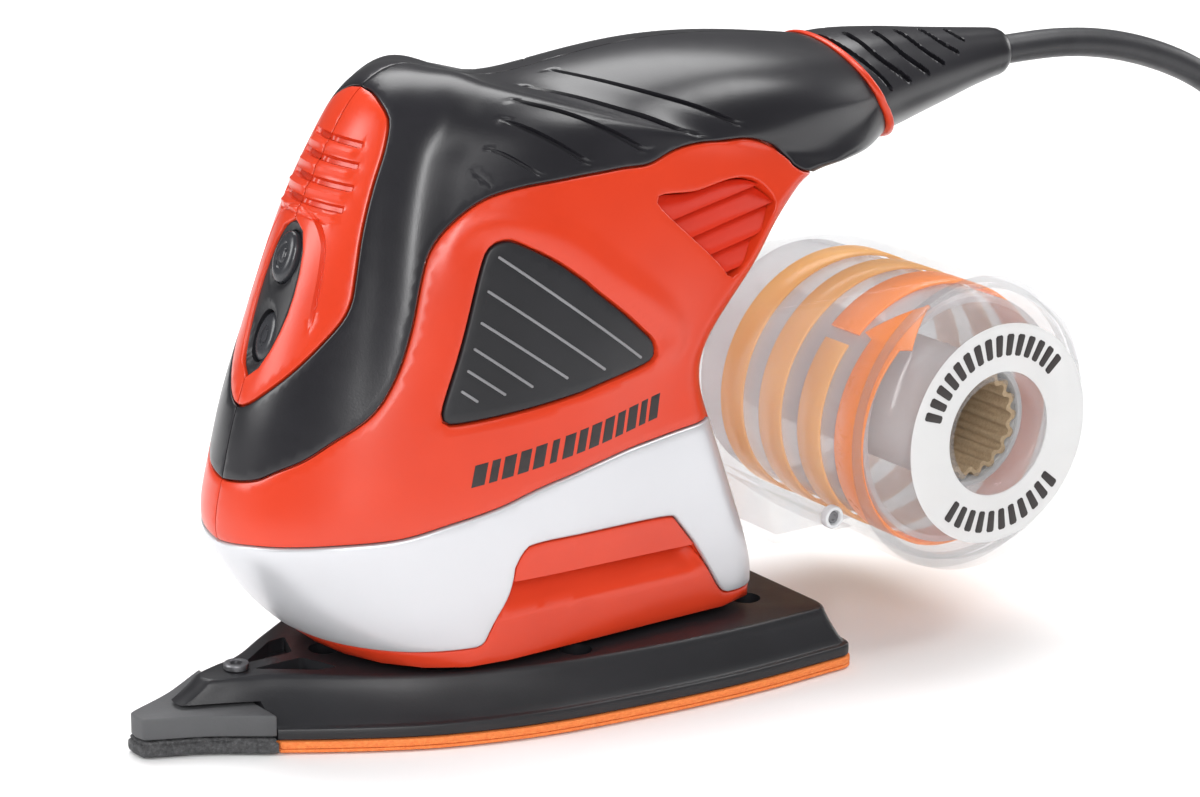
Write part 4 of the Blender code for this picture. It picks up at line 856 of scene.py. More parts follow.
def skin(name, outline, top=0.0, bottom=-SKIN, roll=0.6, holes=(), pits=(), lines=(), reliefs=(), extra=None,
         cell=2.0, join=False, seam=True, hole_roll=None):
    """A closed moulded skin over a region of the body.

    pits are outlines inside which the face lies lower; reliefs are lines cut in
    or standing out; extra is any further height, as a function of the place."""
    def keep(p):
        ok = inside(outline, p)
        for h in holes:
            ok &= ~inside(h, p)
        return ok
    loops = [outline] + list(holes)
    for f in (0.14, 0.45, 1.0):
        loops.append(fitted(outline, roll * f))
        loops += [inset(h, -roll * f) for h in holes]
    mids = []
    for loop, depth, r in pits:
        loops += [loop, inset(loop, 0.12)] + [inset(loop, -r * f) for f in (0.3, 1.0)]
        mids.append((inset(loop, 0.06), depth, r, loop))
    open_lines = list(lines)
    for q in reliefs:
        open_lines += q.lines
    if seam and not join:
        open_lines += SEAM_LINES
    uv, tris = fine_net(loops, open_lines, cell, keep)
    world0 = surf(np.clip(uv[:, 0], 0, LAST), np.clip(uv[:, 1], 0, 1))
    rim_pts, seam_pts = edge_samples(outline)
    for h in holes:
        rim_pts = np.r_[rim_pts, edge_samples(h)[0]]
    d, _ = distances(world0, rim_pts)
    depth = top - rolled(d, roll)
    if seam and not join and len(seam_pts):
        d, _ = distances(world0, seam_pts)
        depth -= rolled(d, SEAM_ROLL)
    for q in reliefs:
        depth += q.offset(world0)
    if extra is not None:
        depth += extra(uv, world0)
    for middle, deep, r, loop in mids:
        d, _ = distances(world0, edge_samples(loop)[0])
        inner = inside(middle, uv)
        depth = np.where(inner, deep, depth - rolled(d, r))
    outer = base_world(uv, depth, limit=0.0 if join else -0.15)
    low = base_world(uv, np.minimum(bottom, depth - 0.8), limit=0.0 if join else -0.15)
    count = {}
    for f in tris:
        for a, b in ((f[0], f[1]), (f[1], f[2]), (f[2], f[0])):
            count[(a, b)] = 1
    rim = [(a, b) for a, b in count if (b, a) not in count]
    a, b, c = outer[tris[:60, 0]], outer[tris[:60, 1]], outer[tris[:60, 2]]
    mids_uv = uv[tris[:60]].mean(1)
    face_out = (np.cross(b - a, c - a) * normal(mids_uv[:, 0], mids_uv[:, 1])).sum() > 0
    n = len(outer)
    faces = [tuple(f) if face_out else tuple(f[::-1]) for f in tris]
    faces += [tuple(v + n for v in (f[::-1] if face_out else f)) for f in tris]
    for a, b in rim:
        if join and uv[a][1] < 1e-5 and uv[b][1] < 1e-5:
            continue
        quad = (b, a, a + n, b + n)
        faces.append(quad if face_out else quad[::-1])
    verts = np.r_[outer, low]
    used = np.unique(np.concatenate([np.array(f) for f in faces]))
    new = -np.ones(len(verts), int)
    new[used] = np.arange(len(used))
    verts = verts[used]
    faces = [tuple(new[list(f)]) for f in faces]
    if join:
        n = len(verts)
        faces += [tuple(v + n for v in f[::-1]) for f in faces]
        verts = np.r_[verts, verts * (1, -1, 1)]
    return verts, faces


def pair(name, made, slot, nodes, mat=None, angle=38):
    """The -Y piece and its mirror image."""
    verts, faces = made
    out = []
    for tag, flip, node in (("left", False, nodes[0]), ("right", True, nodes[1])):
        v = verts * (1, -1, 1) if flip else verts
        f = [q[::-1] for q in faces] if flip else faces
        out.append(swap(mesh(name + "_" + tag, v, f, angle=angle, fix=False), slot, node, mat=mat))
    return out


FINE = 1.0

# relief on the orange shells
shield_crease = Relief([(7.9, 0.0), (7.79, .047), (7.53, .077), (7.22, .088), (6.75, .094), (6.29, .096)], 0.8, -0.8, 7, step=1.2)
cheek = Relief([(5.2, .60), (5.6, .655), (7.05, .48), (7.89, .385), (8.1, .308), (7.78, .262), (7.2, .262)], 5.5, 0.9, 14, lines=False)
housing_reliefs = [shield_crease, cheek]
for (z, y) in ((147.2, 10.6), (142.6, 12.0), (137.6, 13.2), (132.7, 13.0)):
    line = front([(0.0, z), (-y * 0.5, z - 0.1), (-y, z - 0.5)])
    line[0] = (line[0][0], 0.0)
    housing_reliefs.append(Relief(line, 1.0, -1.5, 1.2, step=1.0, shape="steep"))
    up = front([(0.0, z - 2.2), (-y * 0.5, z - 2.3), (-y * 0.97, z - 2.7)])
    up[0] = (up[0][0], 0.0)
    housing_reliefs.append(Relief(up, 1.5, 0.75, 1.6, step=1.0))
thin = front([(0.0, 129.6), (-5.5, 129.4), (-10.8, 128.6)])
thin[0] = (thin[0][0], 0.0)
housing_reliefs.append(Relief(thin, 0.6, -0.35, 2.0))

# the finger recess under the bumper's arch
UP_A, UP_B, LO_A, LO_B = (1.74, .396), (1.55, .654), (1.08, .409), (1.02, .686)


def finger_recess(uv, world):
    k, t = uv[:, 0], uv[:, 1]
    u = np.clip((t - 0.38) / 0.29, 0, 1)
    up = UP_A[0] + (UP_B[0] - UP_A[0]) * u
    lo = LO_A[0] + (LO_B[0] - LO_A[0]) * u
    f = np.clip((k - lo) / (up - lo), 0, 1)
    f = np.where(k > up + 0.015, 0, f)
    ends = np.clip((t - 0.385) / 0.03, 0, 1) * np.clip((0.688 - t) / 0.03, 0, 1)
    return -6.4 * f ** 1.15 * ends ** 0.7


recess_lines = []
for off in (0.0, 0.03):
    recess_lines.append(np.array([(UP_A[0] + (UP_B[0] - UP_A[0]) * u + off, 0.38 + 0.29 * u) for u in np.linspace(0, 1, 60)]))
recess_lines.append(np.array([(LO_A[0] + (LO_B[0] - LO_A[0]) * u, 0.38 + 0.29 * u) for u in np.linspace(0, 1, 60)]))

# the housing keeps its recesses under the overmoulded skins
GRIP_FINE = chain(run(GRIP_LOW + GRIP_REAR[1:], 2.0), run([(10.3, 1.0), (LAST, 1.0)], 3.0), run([(LAST, 1.0), (LAST, 0.0)], 2.5),
                  run([(LAST, 0.0), SHIELD[0]], 3.0), run(SHIELD, 2.0))
BUMPER_FINE = chain(run([(BUMPER_LOW[-1][0], 0.0), (LINE_WHITE[0][0], 0.0)], 2.0), run(LINE_WHITE, 2.0), run(REAR_WHITE, 2.0), run(BUMPER_REAR, 2.0),
                    run([(0.36, 0.80), CUTOUT_REAR[0]], 2.0), run(CUTOUT_REAR, 1.8), run(CUTOUT_TOP, 1.5), run(CUTOUT_FRONT, 1.5),
                    run(BUMPER_LOW, 1.8))
housing = skin("housing", SHELL, 0.0, -WALL, roll=0.5, holes=[run(VENT, 2.0, closed=True)],
               pits=[(stretched(BUMPER_FINE), RECESS, 0.6), (stretched(GRIP_FINE), RECESS, 0.6), (run(PANEL, 2.0, closed=True), RECESS - 0.4, 0.9)],
               reliefs=housing_reliefs, lines=recess_lines, extra=finger_recess, cell=2.1 * FINE)
pair("shell", housing, "orange", ("housing_left", "housing_right"))

# grip: grooves across it and a soft crest down the front pod
grooves = [[(13.74, .054), (13.87, .149), (13.95, .24), (13.97, .308), (13.82, .387)],
           [(12.86, .099), (13.05, .174), (12.99, .255), (12.73, .327), (11.55, .447)],
           [(10.83, .23), (10.87, .293), (10.65, .363), (10.09, .483)],
           [(10.21, .257), (10.09, .307), (9.85, .363), (9.5, .421)],
           [(9.52, .266), (9.4, .304), (9.08, .356)],
           [(9.02, .257), (8.78, .289)]]
grip_reliefs = [Relief(g, w, -d, 9, step=1.6, shape="steep") for g, w, d in zip(grooves, (0.72, 0.78, 0.8, 0.75, 0.55, 0.5), (1.15, 1.2, 1.2, 1.1, 0.55, 0.4))]
grip_reliefs.append(Relief([(12.51, .016), (10.15, .187), (9.07, .191), (7.86, .205), (6.86, .217), (5.82, .222), (4.9, .231)], 9.0, 0.9, 22, lines=False))
grip = skin("grip", fitted(GRIP_FINE, 0.42), 0.0, -SKIN, roll=0.55, reliefs=grip_reliefs, cell=1.9 * FINE)
pair("grip_skin", grip, "soft_black", ("grip_left", "grip_right"))

# side panel
panel = skin("panel", inset(run(PANEL, 2.0, closed=True), 0.4), -0.4, -0.4 - SKIN, roll=0.7,
             cell=2.0 * FINE, seam=False)
pair("panel_skin", panel, "black", ("side_panel_left", "side_panel_right"))

# bumper round the nose
bump = skin("bumper", fitted(BUMPER_FINE, 0.32), 0.35, -SKIN, roll=0.7, cell=2.0 * FINE, join=True)
swap(mesh("bumper_skin", *bump, weld=True, angle=38), "silver", "bumper")

# louvres: four slats that slope up to the rear, each over a dark gap
SLATS = [((28.0, 121.6), (68.5, 127.4)), ((34.0, 116.2), (69.5, 122.2)), ((40.0, 111.0), (69.0, 116.2)), ((45.5, 106.2), (66.0, 109.6))]


def slat_height(uv, world):
    x, z = world[:, 0], world[:, 2]
    out = np.full(len(world), -0.2)
    f = np.full(len(world), 1.0)
    for (x0, z0), (x1, z1) in SLATS:
        line = z0 + (z1 - z0) * (x - x0) / (x1 - x0)
        below = z < line
        f = np.where(below, (line - z) / 5.2, f)
    top_line = SLATS[0][0][1] + (SLATS[0][1][1] - SLATS[0][0][1]) * (x - SLATS[0][0][0]) / (SLATS[0][1][0] - SLATS[0][0][0])
    f = np.where(z >= top_line, np.clip((top_line + 5.6 - z) / 5.2, 0, 1), f)
    return out - 2.6 * np.clip(1 - f, 0, 1) ** 0.9


slat_lines = []
for (x0, z0), (x1, z1) in SLATS:
    for off in (-0.06, 0.06):
        q = [place(x=x0 + (x1 - x0) * u, z=z0 + off + (z1 - z0) * u) for u in np.linspace(0, 1, 24)]
        slat_lines.append(np.array(q))
vent = skin("vent", inset(run(VENT, 2.0, closed=True), 0.3), -0.9, -5.2, roll=0.3, lines=slat_lines, extra=slat_height, cell=1.4 * FINE, seam=False)
pair("louvres", vent, "orange", ("vent_grille_left", "vent_grille_right"), angle=30, mat="vent_orange")

# ------------------------------------------------------------- mesh helpers
def cut(ob, *cutters, op="DIFFERENCE"):
    """Booleans applied at once; the cutters are used up."""
    for cutter in cutters:
        md = ob.modifiers.new("bool", "BOOLEAN")
        md.operation = op
        md.object = cutter
        md.solver = "EXACT"
        dg = bpy.context.evaluated_depsgraph_get()
        dg.update()
        me = bpy.data.meshes.new_from_object(ob.evaluated_get(dg))
        ob.modifiers.clear()
        ob.data = me
        bpy.data.objects.remove(cutter, do_unlink=True)
    smooth_faces(ob.data, 35)
    return ob


def bevelled(ob, width, segments=3, angle=40):
    md = ob.modifiers.new("bevel", "BEVEL")
    md.width = width * MM
    md.segments = segments
    md.limit_method = "ANGLE"
    md.angle_limit = math.radians(angle)
    md.use_clamp_overlap = True
    dg = bpy.context.evaluated_depsgraph_get()
    dg.update()
    me = bpy.data.meshes.new_from_object(ob.evaluated_get(dg))
    ob.modifiers.clear()
    ob.data = me
    smooth_faces(ob.data, 35)
    return ob


def prism(name, outline, z0, z1, rows=1):
    return loft(name, [[(x, y, z) for x, y in outline] for z in np.linspace(z0, z1, rows + 1)])


def turned(name, profile, axis, at, segments=96, closed=True, angle=32):
    """Profile (r, h) turned about an axis through the point at."""
    rings = []
    for r, h in profile:
        ring = []
        for a in np.linspace(0, 2 * math.pi, segments, endpoint=False):
            c, s = r * math.cos(a), r * math.sin(a)
            ring.append({"Z": (at[0] + c, at[1] + s, at[2] + h), "Y": (at[0] + c, at[1] + h, at[2] + s),
                         "X": (at[0] + h, at[1] + c, at[2] + s)}[axis])
        rings.append(ring)
    return loft(name, rings, close=closed, angle=angle)


def rod(name, r, a, b, axis, at, segments=48):
    return turned(name, [(r, a), (r, b)], axis, at, segments, closed=False)


def block(name, x, y, z):
    pts = [(x[0], y[0]), (x[1], y[0]), (x[1], y[1]), (x[0], y[1])]
    return prism(name, pts, z[0], z[1])


def arc(profile, rounds, steps=5):
    """Outline whose corners are rounded by the given radii."""
    out = []
    n = len(profile)
    for i, (p, r) in enumerate(zip(profile, rounds)):
        p = np.array(p, float)
        if not r:
            out.append(tuple(p))
            continue
        a, b = np.array(profile[i - 1], float) - p, np.array(profile[(i + 1) % n], float) - p
        la, lb = np.linalg.norm(a), np.linalg.norm(b)
        a, b = a / la, b / lb
        r = min(r, la * 0.45, lb * 0.45)
        for t in np.linspace(0, 1, steps):
            out.append(tuple(p + a * r * (1 - t) ** 2 + b * r * t ** 2))
    return out


def refine(half, steps=6):
    """Smooth version of a half outline, from the nose to the rear corner."""
    p = np.array(half, float)
    out = [tuple(p[0])]
    for h in range(1, 11):
        a, b, c = p[h - 1], p[h], p[h + 1]
        d = p[h + 2] if h < 10 else 2 * c - b
        for t in np.arange(steps) / steps:
            out.append(tuple(0.5 * (2 * b + (c - a) * t + (2 * a - 5 * b + 4 * c - d) * t * t + (3 * b - a - 3 * c + d) * t ** 3)))
    corner = np.array((p[13][0], p[11][1]))
    for t in np.linspace(0, 1, 9):
        out.append(tuple(p[11] * (1 - t) ** 2 + 2 * corner * t * (1 - t) + p[13] * t * t))
    out.append(tuple(p[14]))
    return out


def both(outline):
    return list(outline) + [(x, -y) for x, y in outline[::-1] if abs(y) > 1e-9]


def shrink(outline, d):
    pts = both(outline)
    out = []
    n = len(pts)
    for i, (x, y) in enumerate(pts):
        a = Vector((x - pts[i - 1][0], y - pts[i - 1][1])).normalized()
        b = Vector((pts[(i + 1) % n][0] - x, pts[(i + 1) % n][1] - y)).normalized()
        m = Vector((-(a.y + b.y), a.x + b.x))
        m.normalize()
        c = max(0.5, m.dot(Vector((-a.y, a.x))))
        out.append((x + m.x * d / c, y + m.y * d / c))
    return out


def smooth(points, step):
    """Even points of a smooth curve through the route."""
    p = np.array(points, float)
    t, h = spline_knots(p)
    out = []
    for i in range(len(p) - 1):
        for u in np.arange(0, 1, max(0.02, min(0.5, step / h[i]))):
            a, b, c, d = p[i], p[i] + t[i] * h[i] / 3, p[i + 1] - t[i + 1] * h[i] / 3, p[i + 1]
            out.append(a * (1 - u) ** 3 + 3 * b * u * (1 - u) ** 2 + 3 * c * u * u * (1 - u) + d * u ** 3)
    out.append(p[-1])
    return np.array(out)


# ------------------------------------------------- dark dashes on the side
def bar(x0, z0, x1, z1, lean=0.0, step=0.9):
    """Outline of a bar on the side of the body between two levels."""
    pts = []
    for (xa, za), (xb, zb) in (((x0, z0[0]), (x1, z0[1])), ((x1, z0[1]), (x1 + lean, z1[1])), ((x1 + lean, z1[1]), (x0 + lean, z1[0])), ((x0 + lean, z1[0]), (x0, z0[0]))):
        n = max(2, int(math.hypot(xb - xa, zb - za) / step))
        pts += [place(x=xa + (xb - xa) * j / n, z=za + (zb - za) * j / n) for j in range(n)]
    return np.array(pts)


def strips(outlines, top, bottom, roll, cell):
    verts, faces = [], []
    for loop in outlines:
        v, f = skin("strip", loop, top, bottom, roll=roll, cell=cell, seam=False)
        base = len(verts)
        verts += list(v)
        faces += [tuple(q + base for q in g) for g in f]
    return np.array(verts), faces


def dash_row():
    out = []
    x = -30.5
    for i, (w, gap) in enumerate(((3.4, 1.1), (2.2, 1.1), (3.2, 1.1), (3.0, 1.1), (3.2, 1.6), (2.0, 1.6), (3.2, 1.1), (2.6, 1.1), (3.2, 1.1), (3.2, 1.1), (2.6, 1.1), (3.2, 1.1), (2.2, 1.1), (3.0, 1.0))):
        lo = [64.6 + (q + 41.8) * 0.146 for q in (x, x + w)]
        hi = [z + 5.4 + (x + 30) * 0.012 for z in lo]
        out.append(bar(x, lo, x + w, hi, 1.4))
        x += w + gap
    return out


dash_v, dash_f = strips(dash_row(), 0.07, -0.15, 0.06, 1.5)
for tag, s in (("left", 1), ("right", -1)):
    v = dash_v * (1, s, 1)
    f = dash_f if s > 0 else [g[::-1] for g in dash_f]
    swap(mesh("side_dashes_" + tag, v, f, angle=38, fix=False), "black", mat="ink", body="housing")

# bright raised lines on the dark side panel
LINES = [((-19.1, 121.1), (20.2, 90.6)), ((-22.6, 113.3), (8.1, 90.0)), ((-24.9, 105.9), (-3.2, 89.7)), ((-27.1, 99.8), (-13.0, 89.0)),
         ((-29.1, 94.7), (-20.3, 88.0)), ((-31.0, 89.9), (-27.4, 87.1))]


def line_outline(a, b, w):
    """Outline of a thin bar from a to b, both (x, z)."""
    a, b = np.array(a), np.array(b)
    d = (b - a) / np.linalg.norm(b - a)
    s = np.array((-d[1], d[0])) * w
    n = max(3, int(np.linalg.norm(b - a) / 1.2))
    low = [a - s + (b - a) * j / n for j in range(n + 1)]
    high = [b + s + (a - b) * j / n for j in range(n + 1)]
    return np.array([place(x=q[0], z=q[1]) for q in [*low, b + d * w * 0.7, *high, a - d * w * 0.7]])


line_v, line_f = strips([line_outline(a, b, 0.34) for a, b in LINES], 0.0, -0.7, 0.18, 1.2)
for tag, s in (("left", 1), ("right", -1)):
    v = line_v * (1, s, 1)
    f = line_f if s > 0 else [g[::-1] for g in line_f]
    swap(mesh("panel_lines_" + tag, v, f, angle=38, fix=False), "light_grey", mat="line_grey", body="housing")

# ------------------------------------------------------ switch on the front
LEAN = Vector((-0.927, 0, 0.375))
RISE = Vector((0.375, 0, 0.927))


def on_face(z):
    k, _ = place(y=0.0, z=z)
    return Vector(surf(k, 0.0))


def plunger(name, z, half_w, half_h, profile, n=64):
    base = on_face(z)
    rings = []
    for s, f in profile:
        rings.append([tuple(base + LEAN * s + RISE * (half_h * f * math.cos(a)) + Vector((0, 1, 0)) * (half_w * f * math.sin(a)))
                      for a in np.linspace(0, 2 * math.pi, n, endpoint=False)])
    return loft(name, rings, angle=50)


BEZEL_FINE = chain(run([(BEZEL[-1][0], 0.0), (BEZEL[0][0], 0.0)], 1.2), run(BEZEL, 1.2))


def lens(uv, world):
    """Pockets round the two buttons, with a low bridge between them."""
    out = np.zeros(len(world))
    for z, w, h in ((119.6, 5.9, 8.6), (101.0, 5.4, 8.4)):
        base = np.array(on_face(z))
        r = (world - base) @ np.array(RISE)
        e = np.sqrt((world[:, 1] / w) ** 2 + (r / h) ** 2)
        out -= 1.0 * np.clip((1.0 - e) / 0.16, 0, 1)
    return out


bv, bf = skin("bezel", fitted(BEZEL_FINE, 0.35), -0.75, -3.3, roll=0.5, extra=lens, cell=0.9, join=True)
bezel = mesh("bezel_lens", bv, bf, weld=True, angle=38)
TRAVEL = 2.0
BUTTONS = (("on_button", 119.6, 4.4, 6.6, 0.2), ("off_button", 101.0, 4.0, 6.4, 0.2 - TRAVEL))
cut(bezel, *[plunger("c", z, w + 0.32, h + 0.32, [(-10, 1), (6, 1)]) for _, z, w, h, out in BUTTONS])
swap(bezel, "black", "switch_bezel")
for name, z, w, h, out in BUTTONS:
    profile = [(-8.5, 1), (out - 1.7, 1), (out - 1.1, 0.985), (out - 0.65, 0.93), (out - 0.3, 0.83), (out - 0.1, 0.7), (out, 0.56)]
    if name == "on_button":
        profile += [(out - 0.05, 0.5), (out - 0.45, 0.46), (out - 0.5, 0.30), (out - 0.1, 0.26), (out + 0.05, 0.2), (out + 0.1, 0.08)]
    else:
        profile += [(out - 0.05, 0.42), (out - 0.4, 0.39), (out - 0.42, 0.27), (out - 0.12, 0.24), (out - 0.05, 0.1)]
    swap(plunger(name + "_cap", z, w, h, profile), "soft_black", name, mat="button")

# ------------------------------------------------- collar ring, cord guard
def section(scale, dx, n=61):
    half = [surf(LAST, t) for t in np.linspace(0, 1, n)]
    pts = [np.array(p) for p in half] + [np.array(p) * (1, -1, 1) for p in half[-2:0:-1]]
    mid = (half[0] + half[-1]) / 2
    return [tuple(mid + (p - mid) * scale + (dx, 0, 0)) for p in pts]


swap(loft("collar_band", [section(s, d) for s, d in ((0.99, 0.3), (1.015, 0.4), (1.03, 0.75), (1.035, 1.2), (1.035, 1.8), (1.03, 2.25), (1.015, 2.6), (0.99, 2.7), (0.8, 2.7), (0.8, 0.3))], close=True),
     "orange", "collar_ring")
GUARD = np.array([(103.0, 155.0, 122.4, 126.5, 18.7), (112.0, 155.2, 128.5, 127.6, 16.6), (126.0, 154.0, 138.0, 129.8, 13.8),
                  (140.0, 152.2, 147.0, 131.8, 11.0), (153.0, 150.6, 156.0, 134.0, 8.6), (163.0, 149.4, 164.0, 135.6, 6.9)])
SLITS = [[(103.3, -3.4, 154.8), (107.5, -13.0, 150.6), (115.9, -17.6, 142.1)], [(111.1, -4.8, 154.6), (114.8, -13.4, 149.6), (124.0, -15.5, 142.7)],
         [(120.6, -4.4, 153.9), (123.9, -11.8, 149.4), (132.1, -13.5, 143.3)], [(128.8, -3.9, 153.2), (132.1, -9.8, 149.5), (138.9, -11.5, 144.7)],
         [(138.0, -2.8, 152.2), (140.6, -7.3, 149.7), (145.7, -9.1, 146.5)], [(146.9, -2.5, 151.0), (148.0, -4.9, 150.0), (150.0, -6.3, 148.7)]]
rows, cols = 190, 160
cs = []
for x in np.linspace(0, 5, rows):
    i = min(int(x), 4)
    t = x - i
    a, b, c, d = GUARD[max(i - 1, 0)], GUARD[i], GUARD[i + 1], GUARD[min(i + 2, 5)]
    cs.append(0.5 * (2 * b + (c - a) * t + (2 * a - 5 * b + 4 * c - d) * t * t + (3 * b - a - 3 * c + d) * t ** 3))
cs += [np.array(q) for q in ((165.0, 149.15, 165.7, 135.85, 6.7), (166.6, 148.8, 166.9, 136.2, 6.35), (167.6, 148.3, 167.7, 136.8, 5.8), (168.2, 147.6, 168.2, 137.5, 5.15))]
ANG = np.linspace(0, 2 * math.pi, cols, endpoint=False)
grid = np.array([[((tx + bx) / 2 + (tx - bx) / 2 * math.cos(a), w * math.sin(a), (tz + bz) / 2 + (tz - bz) / 2 * math.cos(a)) for a in ANG]
                 for tx, tz, bx, bz, w in cs])
centre = np.array([((tx + bx) / 2, 0, (tz + bz) / 2) for tx, tz, bx, bz, w in cs])
flat = grid.reshape(-1, 3)
sink = np.zeros(len(flat))
for i, pts in enumerate(SLITS):
    for s in (1, -1):
        line = smooth(np.array(pts) * (1, s, 1), 0.3)
        half = 1.15 - 0.07 * i
        d, j = distances(flat, line)
        along_s = np.r_[0, np.cumsum(np.linalg.norm(np.diff(line, axis=0), axis=1))]
        wide = half * (1 - 0.45 * along_s[j] / along_s[-1])
        u = np.clip(d / wide, 0, 1)
        sink = np.maximum(sink, 1.9 * np.clip(1.6 * (1 - u ** 3), 0, 1))
inward = centre.repeat(cols, axis=0) - flat
inward /= np.linalg.norm(inward, axis=1)[:, None]
grid = (flat + inward * sink[:, None]).reshape(grid.shape)
rings = [[tuple(p) for p in r] for r in grid]
for x, r in ((168.4, 5.0), (168.4, 4.5), (167.9, 4.25), (160, 4.2), (146, 4.2)):
    rings.append([(x, r * math.sin(a), 142.55 + r * math.cos(a)) for a in ANG])
swap(loft("strain_relief", rings, angle=50), "soft_black", "cord_guard")

# ------------------------------------------------------------ sanding pad
DUST = [(-48, 0), (4, -36), (4, 36), (62, -30), (62, 30), (64, 0)]
LEGS = [(-28, -22), (-28, 22), (38, -24), (38, 24)]
TIP_X = -73.0
PAD_F = refine(PAD)
PADTOP_F = refine(PAD_TOP)


def pad_behind_tip(d=0.0):
    half = [p for p in PAD_F if p[0] > TIP_X + 1.5]
    x0 = TIP_X + GAP
    y0 = np.interp(x0, [p[0] for p in PAD_F[1:60]], [p[1] for p in PAD_F[1:60]])
    pts = both([(x0, 0), (x0, y0)] + half)
    return pts


def tip_outline(grow=0.0, step=0.0):
    half = [p for p in PAD_F if p[0] < TIP_X - 1]
    y0 = np.interp(TIP_X - GAP, [p[0] for p in PAD_F[1:60]], [p[1] for p in PAD_F[1:60]])
    pts = both([(x - grow, y - (grow if y else 0)) for x, y in half] + [(TIP_X - GAP, y0 - grow), (TIP_X - GAP, 0)])
    if step:
        out = []
        for i, (x, y) in enumerate(pts):
            x1, y1 = pts[(i + 1) % len(pts)]
            m = max(1, int(math.hypot(x1 - x, y1 - y) / step))
            out += [(x + (x1 - x) * j / m, y + (y1 - y) * j / m) for j in range(m)]
        pts = out
    return pts


def hole_cutters(r=4.0):
    return [rod("c", r, -2, 20, "Z", (x, y, 0), 32) for x, y in DUST]


def layer(name, z0, z1, slot, node, soft=0.25):
    """A flat layer of the pad with a softly broken edge."""
    ob = prism(name, pad_behind_tip(), z0, z1)
    bevelled(ob, soft, 2)
    cut(ob, *hole_cutters())
    return swap(ob, slot, node)


layer("abrasive_sheet", 0, 0.8, "sheet_orange", "sanding_sheet", 0.12)
layer("backing_foam", 0.95, 2.75, "sheet_orange", "foam_pad")
rings = []
for z, f, d in ((3.0, 0, 0.9), (3.12, 0, 0.62), (3.4, 0, 0.4), (4.6, 0, 0.36), (5.7, 0, 0.4), (5.95, 0, 0.55), (6.15, 0, 0.95), (6.25, 0, 1.5),
                (6.5, 0.05, 1.5), (8.2, 0.26, 1.25), (10.2, 0.5, 0.8), (12.2, 0.72, 0.35), (13.8, 0.86, 0.1), (14.9, 0.935, 0.0), (15.6, 0.975, 0.15),
                (15.9, 1.0, 0.4), (16.0, 1.0, 0.85)):
    mixed = [(a[0] * (1 - f) + b[0] * f, a[1] * (1 - f) + b[1] * f) for a, b in zip(PAD_F, PADTOP_F)]
    rings.append([(x, y, z) for x, y in shrink(mixed, d)])
platen = loft("pad_platen", rings)
cut(platen, *hole_cutters(), rod("c", 12.3, 8.5, 20, "Z", (ORBIT, 0, 0), 48), *[rod("c", 8.2, 12.0, 20, "Z", (x, y, 0), 40) for x, y in LEGS],
    prism("c", [(-120, -40), (TIP_X, -40), (TIP_X, 40), (-120, 40)], -5, 10.8), block("c", (-80, -61), (-8.4, 8.4), (4.8, 8.4)))
for s in (-1, 1):
    tri = arc([(-70, s * 2.2), (-56, s * 2.2), (-52, s * 12.5), (-57, s * 12.0)][::s], (1, 1, 1.4, 1.4))
    cut(platen, prism("c", tri, 12.5, 20))
swap(platen, "black", "platen")
swap(turned("nose_screw", [(3.2, 16.3), (3.2, 17.4), (3.0, 17.7), (2.6, 17.8), (1.7, 17.8), (1.5, 17.7), (1.45, 16.9), (1.2, 16.8), (0.1, 16.8), (0.1, 16.3)], "Z", (-73.5, 0, 0), 36),
     "dark_steel", "tip_screw")

rng = np.random.default_rng(7)
rings = []
tip_pts = tip_outline(0.55, 0.8)
mid = np.mean(np.array(tip_pts), axis=0)
for z, d, jag in ((0.05, 0.35, 0.05), (0.35, 0.05, 0.10), (1.0, 0.0, 0.10), (1.8, 0.0, 0.10), (2.5, 0.0, 0.10), (2.75, 0.35, 0.12), (3.0, 0.9, 0.30), (3.4, 0.7, 0.30), (3.8, 0.9, 0.15)):
    ring = []
    for x, y in tip_pts:
        v = np.array((x, y)) - mid
        r = np.linalg.norm(v)
        move = d + rng.uniform(-jag, jag)
        x1, y1 = mid + v * (1 - max(move, 0.0) / r)
        ring.append((min(x1, TIP_X - GAP), y1, z))
    rings.append(ring)
swap(loft("tip_abrasive", rings, angle=60), "pad_grey", "tip_pad")
slab = prism("tip_slab", tip_outline(0.0), 4.2, 9.8)
bevelled(slab, 0.5, 3)
cut(slab, block("c", (-82, -62), (-8, 8), (5.2, 8.0)), op="UNION")
swap(slab, "pad_grey", "tip_finger", mat="slab_grey")

# ---------------------------------------------------------- dust canister
def rear_x(z):
    zs, xs = RIBS[:11, 3], RIBS[:11, 2]
    return float(np.interp(z, zs, xs))


def can_outline(d):
    """Side outline of the canister, drawn in by d."""
    low, high = 35.0 + d, 98.0 - d
    r = CAN_R - d
    pts = []
    for z in np.linspace(low, high, 26):
        pts.append((max(rear_x(z), rear_x(z + 2), rear_x(z - 2)) + 1.3 + d, z))
    pts += [(CAN_X + r * math.cos(math.radians(a)), CAN_Z + r * math.sin(math.radians(a))) for a in np.linspace(90, -118, 90)]
    pts.append((86.0, low))
    return pts


def can_body(name, sections):
    """Canister form through outlines drawn in by d at places y; the far end tapers."""
    return loft(name, [[(x, y, z) for x, z in can_outline(d)] for y, d in sections], angle=30)


def taper(y, at, far):
    """Drawing-in of the far end."""
    return float(np.interp(y, at, far))


